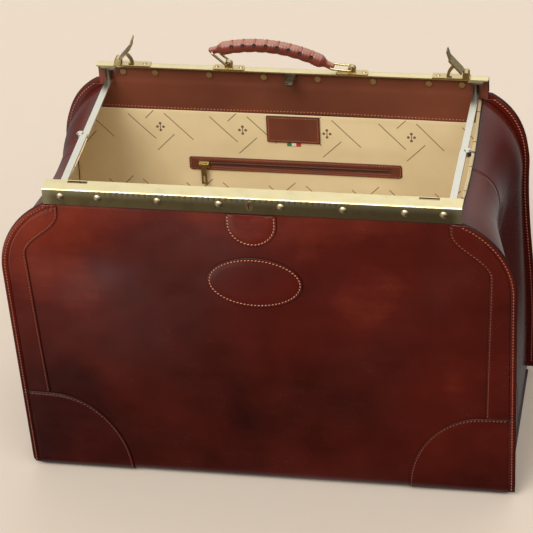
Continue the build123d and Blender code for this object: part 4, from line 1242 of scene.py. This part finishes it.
def sew_strip(side, hand):
    """Stitches inside the inner edge of a side strip, offset square to it."""
    v = np.linspace(PATCH_TOP_V + 0.002, STITCH_TOP_V, 500)
    slope = np.gradient(strip_inner(v), v)
    x = strip_inner(v) + SEAM_STITCH * np.sqrt(1 + slope**2)
    name = f"{FACE[side]}_strip_stitches_{END[hand]}"
    sew(name, side, hand * x, v, OVERLAY - 0.0001, DARK_THREAD, width=FINE_WIDTH)


def sew_patch(side, hand):
    """Stitches inside the edge of a corner patch: its quarter ellipse, then level to the side."""
    turn = np.linspace(0.02, np.pi / 2, 200)
    level = np.linspace(PATCH_CENTRE + 0.001, 0.2515, 60)
    x = np.concatenate([PATCH_CENTRE - (PATCH_HALF - SEAM_STITCH) * np.cos(turn), level])
    top = PATCH_TOP_V - SEAM_STITCH
    v = np.concatenate([top * np.sin(turn), np.full(level.size, top)])
    name = f"{FACE[side]}_patch_stitches_{END[hand]}"
    sew(name, side, hand * x, v, OVERLAY - 0.0001, DARK_THREAD, folds=True, width=FINE_WIDTH)


def sew_oval_and_tab():
    """Stitches inside the oval, and down, round and up the lock tab."""
    turn = np.linspace(0, 2 * np.pi, 400)
    reach = oval_radius(turn, OVAL_STITCH)
    x, v = reach * np.cos(turn), OVAL_V + reach * np.sin(turn)
    sew("oval_stitches", FRONT, x, v, OVERLAY + 0.0001, PALE_THREAD, pitch=LONG_PITCH)
    turn = np.linspace(np.pi, 2 * np.pi, 200)
    half = TAB_HALF - OVAL_STITCH
    down = np.linspace(STITCH_TOP_V, TAB_V, 21)[:-1]
    x = np.concatenate([np.full(down.size, -half), half * np.cos(turn), np.full(down.size, half)])
    v = np.concatenate([down, TAB_V + half * np.sin(turn), down[::-1]])
    sew("tab_stitches", FRONT, x, v, OVERLAY + 0.0001, PALE_THREAD, pitch=LONG_PITCH)


def sew_facing(side):
    """Stitches along the facing's lower edge, following its wave."""
    x = np.linspace(-0.2065, 0.2065, 300)
    z = 0.3150 + facing_wave(x) * 0.75
    y = side * (HALF_DEPTH + (z - FOOT_Z) * math.tan(LEAN) - LEATHER - FACING_GAP - 0.00065)
    outward = np.tile([0.0, -side, 0.0], (x.size, 1))
    path = np.stack([x, y, z], -1)
    row = stitch_row(f"{FACE[side]}_facing_stitches", path, outward, THREAD, pitch=LONG_PITCH)
    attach(row, PANEL_BODY[side])


def sew_loop(name, loop, centre_v, lift, pitch, length):
    """Closed row of fine stitches on the inner side of the back panel."""
    x, v = loop[:, 0], centre_v + loop[:, 1]
    sew(name, BACK, x, v, lift, THREAD, inside, pitch=pitch, length=length, width=0.0004, height=0.0003)


for side in (FRONT, BACK):
    for hand in (LEFT, RIGHT):
        sew_lip(side, hand)
        sew_strip(side, hand)
        sew_patch(side, hand)
        sew_lip_inside(side, hand)
sew_oval_and_tab()
for side in (FRONT, BACK):
    sew_facing(side)
zip_seam = rounded_loop(ZIP_HALF - 0.0018, ZIP_RISE - 0.0018, 0.002)
sew_loop("zip_stitches", zip_seam, ZIP_V, CLOTH_FACE + 0.0015, 0.0032, 0.0023)
label_seam = rounded_loop(0.0268, (label_high - label_low) / 2 - 0.0022, 0.001)
sew_loop("label_stitches", label_seam, (label_high + label_low) / 2, CLOTH_FACE + 0.0019, 0.0030, 0.0022)


# ---------------------------------------------------------------- handle

WIRE = 0.0013
GRIP_ARCH = 0.014
GRIP_RADIUS = 0.0070
LACES = 8
LACE_REACH = 0.88
HOLE_ANGLE = 1.05
HANDLE_ACROSS = np.array([0.0, 1.0, 0.0])
left_ring_low, left_ring_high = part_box("handle_ring_left")
right_ring_low, right_ring_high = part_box("handle_ring_right")
HANDLE_Y = (left_ring_low.y + left_ring_high.y) / 2
GRIP_START = np.array([left_ring_low.x + WIRE, HANDLE_Y, left_ring_high.z - WIRE])
GRIP_END = np.array([right_ring_low.x + WIRE, HANDLE_Y, right_ring_high.z - WIRE])
GRIP_SPAN = np.linalg.norm(GRIP_END - GRIP_START)
GRIP_ALONG = (GRIP_END - GRIP_START) / GRIP_SPAN
GRIP_UP = np.array([-GRIP_ALONG[2], 0.0, GRIP_ALONG[0]])


def grip_line(share):
    """Centre line of the grip, a shallow parabola between the rings, with its tangent and the
    direction square to it in the handle's plane."""
    rise = np.where((share < 0) | (share > 1), 0, 4 * GRIP_ARCH * share * (1 - share))
    slope = 4 * GRIP_ARCH * (1 - 2 * np.clip(share, 0, 1)) / GRIP_SPAN
    centre = GRIP_START + np.outer(share * GRIP_SPAN, GRIP_ALONG) + np.outer(rise, GRIP_UP)
    tangent = GRIP_ALONG + np.outer(slope, GRIP_UP)
    tangent /= np.linalg.norm(tangent, axis=1, keepdims=True)
    up = np.stack([-tangent[:, 2], 0 * share, tangent[:, 0]], -1)
    return centre, tangent, up


LACE_SHARES = 0.17 + 0.66 * np.arange(LACES) / (LACES - 1)
TONGUE_WIDE = 0.0036
TONGUE_HIGH = 0.0038
RING_WRAP = 0.0038


def make_grip():
    """Rolled leather grip: round in the middle and drawn in at each lace, narrowing to a flat
    rounded tongue that folds over the ring at each end."""
    over = RING_WRAP / GRIP_SPAN
    ends = np.array([0.0, 0.12, 0.35, 0.7]) * 0.9 * over
    share = np.concatenate([-over + ends, np.linspace(0, 1, 181), 1 + over - ends[::-1]])
    centre, _, up = grip_line(share)
    body = np.clip(np.minimum(share - 0.035, 0.965 - share) / 0.06, 0, 1)
    body = body * body * (3 - 2 * body)
    near_lace = np.abs(share[:, None] - LACE_SHARES[None]).min(1) * GRIP_SPAN
    drawn = 0.00055 * np.exp(-((near_lace / 0.0026) ** 2))
    drawn = drawn - 0.00012 * np.cos(share * GRIP_SPAN * 2 * np.pi / 0.0031)
    tip = np.sqrt(np.clip(1 - np.clip(np.maximum(-share, share - 1) / over, 0, 1) ** 2, 0, 1))
    wide = TONGUE_WIDE + (GRIP_RADIUS - TONGUE_WIDE) * body - drawn * body
    wide = wide * np.maximum(tip, 0.02) ** 0.35
    high = (TONGUE_HIGH + (GRIP_RADIUS - TONGUE_HIGH) * body - drawn * body) * tip
    across = np.tile(HANDLE_ACROSS, (len(share), 1))
    grip = tube("handle_grip_leather", centre, across, up, wide, high, GRIP_HIDE, sides=40, squareness=2.15)
    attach(grip, "handle")
    finish_piece(grip, "bridle_leather", "handle_grip")


def make_thong(name, centre, tangent, up):
    """One lace over the crown of the grip: a flat oval carried along an arc across it."""
    arc = np.linspace(-LACE_REACH, LACE_REACH, 19)
    radius = GRIP_RADIUS - 0.0006 + 0.0007 * np.cos(arc / LACE_REACH * np.pi / 2)
    outward = np.outer(np.sin(arc), HANDLE_ACROSS) + np.outer(np.cos(arc), up)
    path = centre + radius[:, None] * outward
    along = np.tile(tangent, (len(arc), 1))
    ends = np.sqrt(np.clip(1 - (np.abs(arc) / (LACE_REACH + 0.005)) ** 8, 0, 1))
    return tube(name, path, along, outward, 0.0013 * ends, 0.0006 * ends, LACE_HIDE, sides=12)


def make_hole(name, centre, tangent, up, hand):
    """One lace hole: rings about a point on the grip's side, a dish sunk in the leather with a
    raised lip, coloured near black as painted shade for the depth of the hole, and a smaller
    copy of it below that closes the shape."""
    out = HANDLE_ACROSS * math.sin(hand * HOLE_ANGLE) + up * math.cos(HOLE_ANGLE)
    round_way = np.cross(out, tangent)
    middle = centre + out * (GRIP_RADIUS - 0.0001)
    turn = np.linspace(0, 2 * np.pi, 25)
    rings = np.array([0.0, 0.35, 0.65, 0.85, 1.0])
    rise = np.array([0.0, 0.0, 0.0001, 0.00042, 0.0])
    grid = (
        middle
        + out * rise[:, None, None]
        + tangent * (0.0023 * rings[:, None] * np.cos(turn))[..., None]
        + round_way * (0.0019 * rings[:, None] * np.sin(turn))[..., None]
    )
    under = middle - out * 0.0010 + (grid - middle) * 0.6
    points = np.concatenate([grid.reshape(-1, 3), under.reshape(-1, 3)])
    number = np.arange(rings.size * turn.size).reshape(rings.size, turn.size)
    low, high = number[-1, :-1], number[-1, 1:]
    wall = np.stack([low, high, high + number.size, low + number.size], -1)
    faces = grid_faces(rings.size, turn.size)
    faces = np.concatenate([faces, faces[:, ::-1] + number.size, wall])
    return make_piece(name, points, faces, HOLE_PAINTED_SHADE, weld=1e-5)


def make_lacing():
    """The laces over the grip and a hole at each of their ends, as two pieces."""
    thongs, holes = [], []
    for k, (centre, tangent, up) in enumerate(zip(*grip_line(LACE_SHARES))):
        thongs.append(make_thong(f"thong_{k}", centre, tangent, up))
        for hand in (LEFT, RIGHT):
            holes.append(make_hole(f"hole_{k}_{hand}", centre, tangent, up, hand))
    lacing = join("handle_lacing_thongs", thongs)
    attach(lacing, "handle")
    finish_piece(lacing, "lacing_leather", "handle_lacing")
    eyelets = join("handle_lacing_holes", holes)
    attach(eyelets, "handle")
    finish_piece(eyelets, "lacing_leather")


make_grip()
make_lacing()


# ---------------------------------------------------------------- metal and board

def paint(finish, *nodes):
    """Each node keeps its own shape and takes the finish."""
    for name in nodes:
        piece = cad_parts[name]
        if not piece.material_slots:
            piece.data.materials.append(finish)
        for place in piece.material_slots:
            place.material = finish


paint(BRASS, "front_jaw_bar", "back_jaw_bar")
paint(FITTING_BRASS, "latch_plates", "latch_pins", "latch_lever_left", "latch_lever_right", "handle_posts",
      "handle_ring_left", "handle_ring_right", "keyhole_plate")
paint(RIVET_BRASS, "front_rivets", "back_rivets", "plate_rivets")
paint(STEEL, "front_stay_link_left", "front_stay_link_right", "back_stay_link_left", "back_stay_link_right")
paint(DARK_STEEL, "front_stay_tabs", "back_stay_tabs", "front_stay_pins", "back_stay_pins", "lock_case",
      "lock_bolt", "lock_hasp")
paint(ZIP_METAL, "zip_slider", "zip_puller")
paint(BOARD, "bottom_board")


# ---------------------------------------------------------------- camera, floor and light

def aim(azimuth, elevation, roll, target, distance, lens):
    """Camera at an azimuth and elevation round a target, rolled about its own axis."""
    a, e, r = map(math.radians, (azimuth, elevation, roll))
    back = np.array([math.sin(a) * math.cos(e), -math.cos(a) * math.cos(e), math.sin(e)])
    right = np.array([math.cos(a), math.sin(a), 0.0])
    up = np.cross(back, right)
    turned_right = math.cos(r) * right + math.sin(r) * up
    turned_up = -math.sin(r) * right + math.cos(r) * up
    data = bpy.data.cameras.new("studio_camera")
    data.lens = lens
    data.sensor_width = 36.0
    camera = bpy.data.objects.new("studio_camera", data)
    bpy.context.scene.collection.objects.link(camera)
    matrix = np.eye(4)
    matrix[:3, 0], matrix[:3, 1], matrix[:3, 2] = turned_right, turned_up, back
    matrix[:3, 3] = np.array(target) + back * distance
    camera.matrix_world = Matrix(matrix.tolist())
    bpy.context.scene.camera = camera


aim(12.07, 34.33, -3.87, (-0.0122, -0.0082, 0.2030), 2.8, 179.7)


def make_floor():
    """Wide level floor in pale matt paper."""
    f = Finish("studio_paper")
    place = f.place()
    fibre = f.noise(place, 40.0, 4.0, 0.6)
    colour = f.mix(fibre, (0.60, 0.523, 0.447), (0.62, 0.540, 0.461))
    paper = f.surface(Base_Color=colour, Roughness=0.95, Specular_IOR_Level=0.1)
    half = 14.0
    x, y = np.meshgrid([-half, 0.0, half], [-half, 0.0, half])
    floor = make_piece("studio_floor", np.stack([x, y, 0 * x], -1), grid_faces(3, 3)[:, ::-1], paper, weld=0)
    floor.visible_glossy = False


def make_room():
    """Soft light all round: bright above and behind, a window glow low on the left of the
    front, and a dim room below the front."""
    f = Finish("studio_room", world=True)
    way = f.place("Generated")
    x, y, z = way.parts()

    def glow(direction, power):
        size = math.sqrt(sum(k * k for k in direction))
        dot = x * (direction[0] / size) + y * (direction[1] / size) + z * (direction[2] / size)
        return dot.most(0.0) ** power

    above = z.step(0.0, 0.40) * (1 - x.step(0.25, 0.75) * 0.6)
    behind = y.step(0.70, 0.92) * (1 - above)
    low_left = glow((-0.62, -0.72, -0.20), 14.0) * 0.55
    window = z.step(-0.570, -0.530) * (1 - z.step(-0.40, -0.25)) * (-x).step(0.17, 0.27) * (-y).step(0.2, 0.5)
    below = (1 - z.step(-0.92, -0.78)) * 0.20
    strength = 0.025 + above * 0.62 + behind * 0.35 + low_left + glow((0.0, 0.7, 0.7), 6.0) * 0.45
    strength = strength + window * 0.9 + below
    back = f.node("Background", {}, {"Color": (1.0, 0.955, 0.90), "Strength": strength})
    f.node("OutputWorld", {}, {"Surface": back})
    bpy.context.scene.world = f.owner


def soft_sun(name, source, power, spread, colour=(1.0, 0.97, 0.92)):
    """Broad even light that comes from the source's direction."""
    data = bpy.data.lights.new(name, "SUN")
    data.energy = power
    data.angle = math.radians(spread)
    data.color = colour
    light = bpy.data.objects.new(name, data)
    light.rotation_euler = Vector(source).to_track_quat("Z", "Y").to_euler()
    bpy.context.scene.collection.objects.link(light)


make_floor()
make_room()
soft_sun("key_light", (-0.30, -0.60, 0.80), 2.1, 35)
soft_sun("fill_light", (0.45, -0.55, 0.75), 0.7, 45)
soft_sun("back_light", (0.20, 0.45, 0.88), 0.3, 45)
bpy.context.scene.view_settings.view_transform = "Standard"
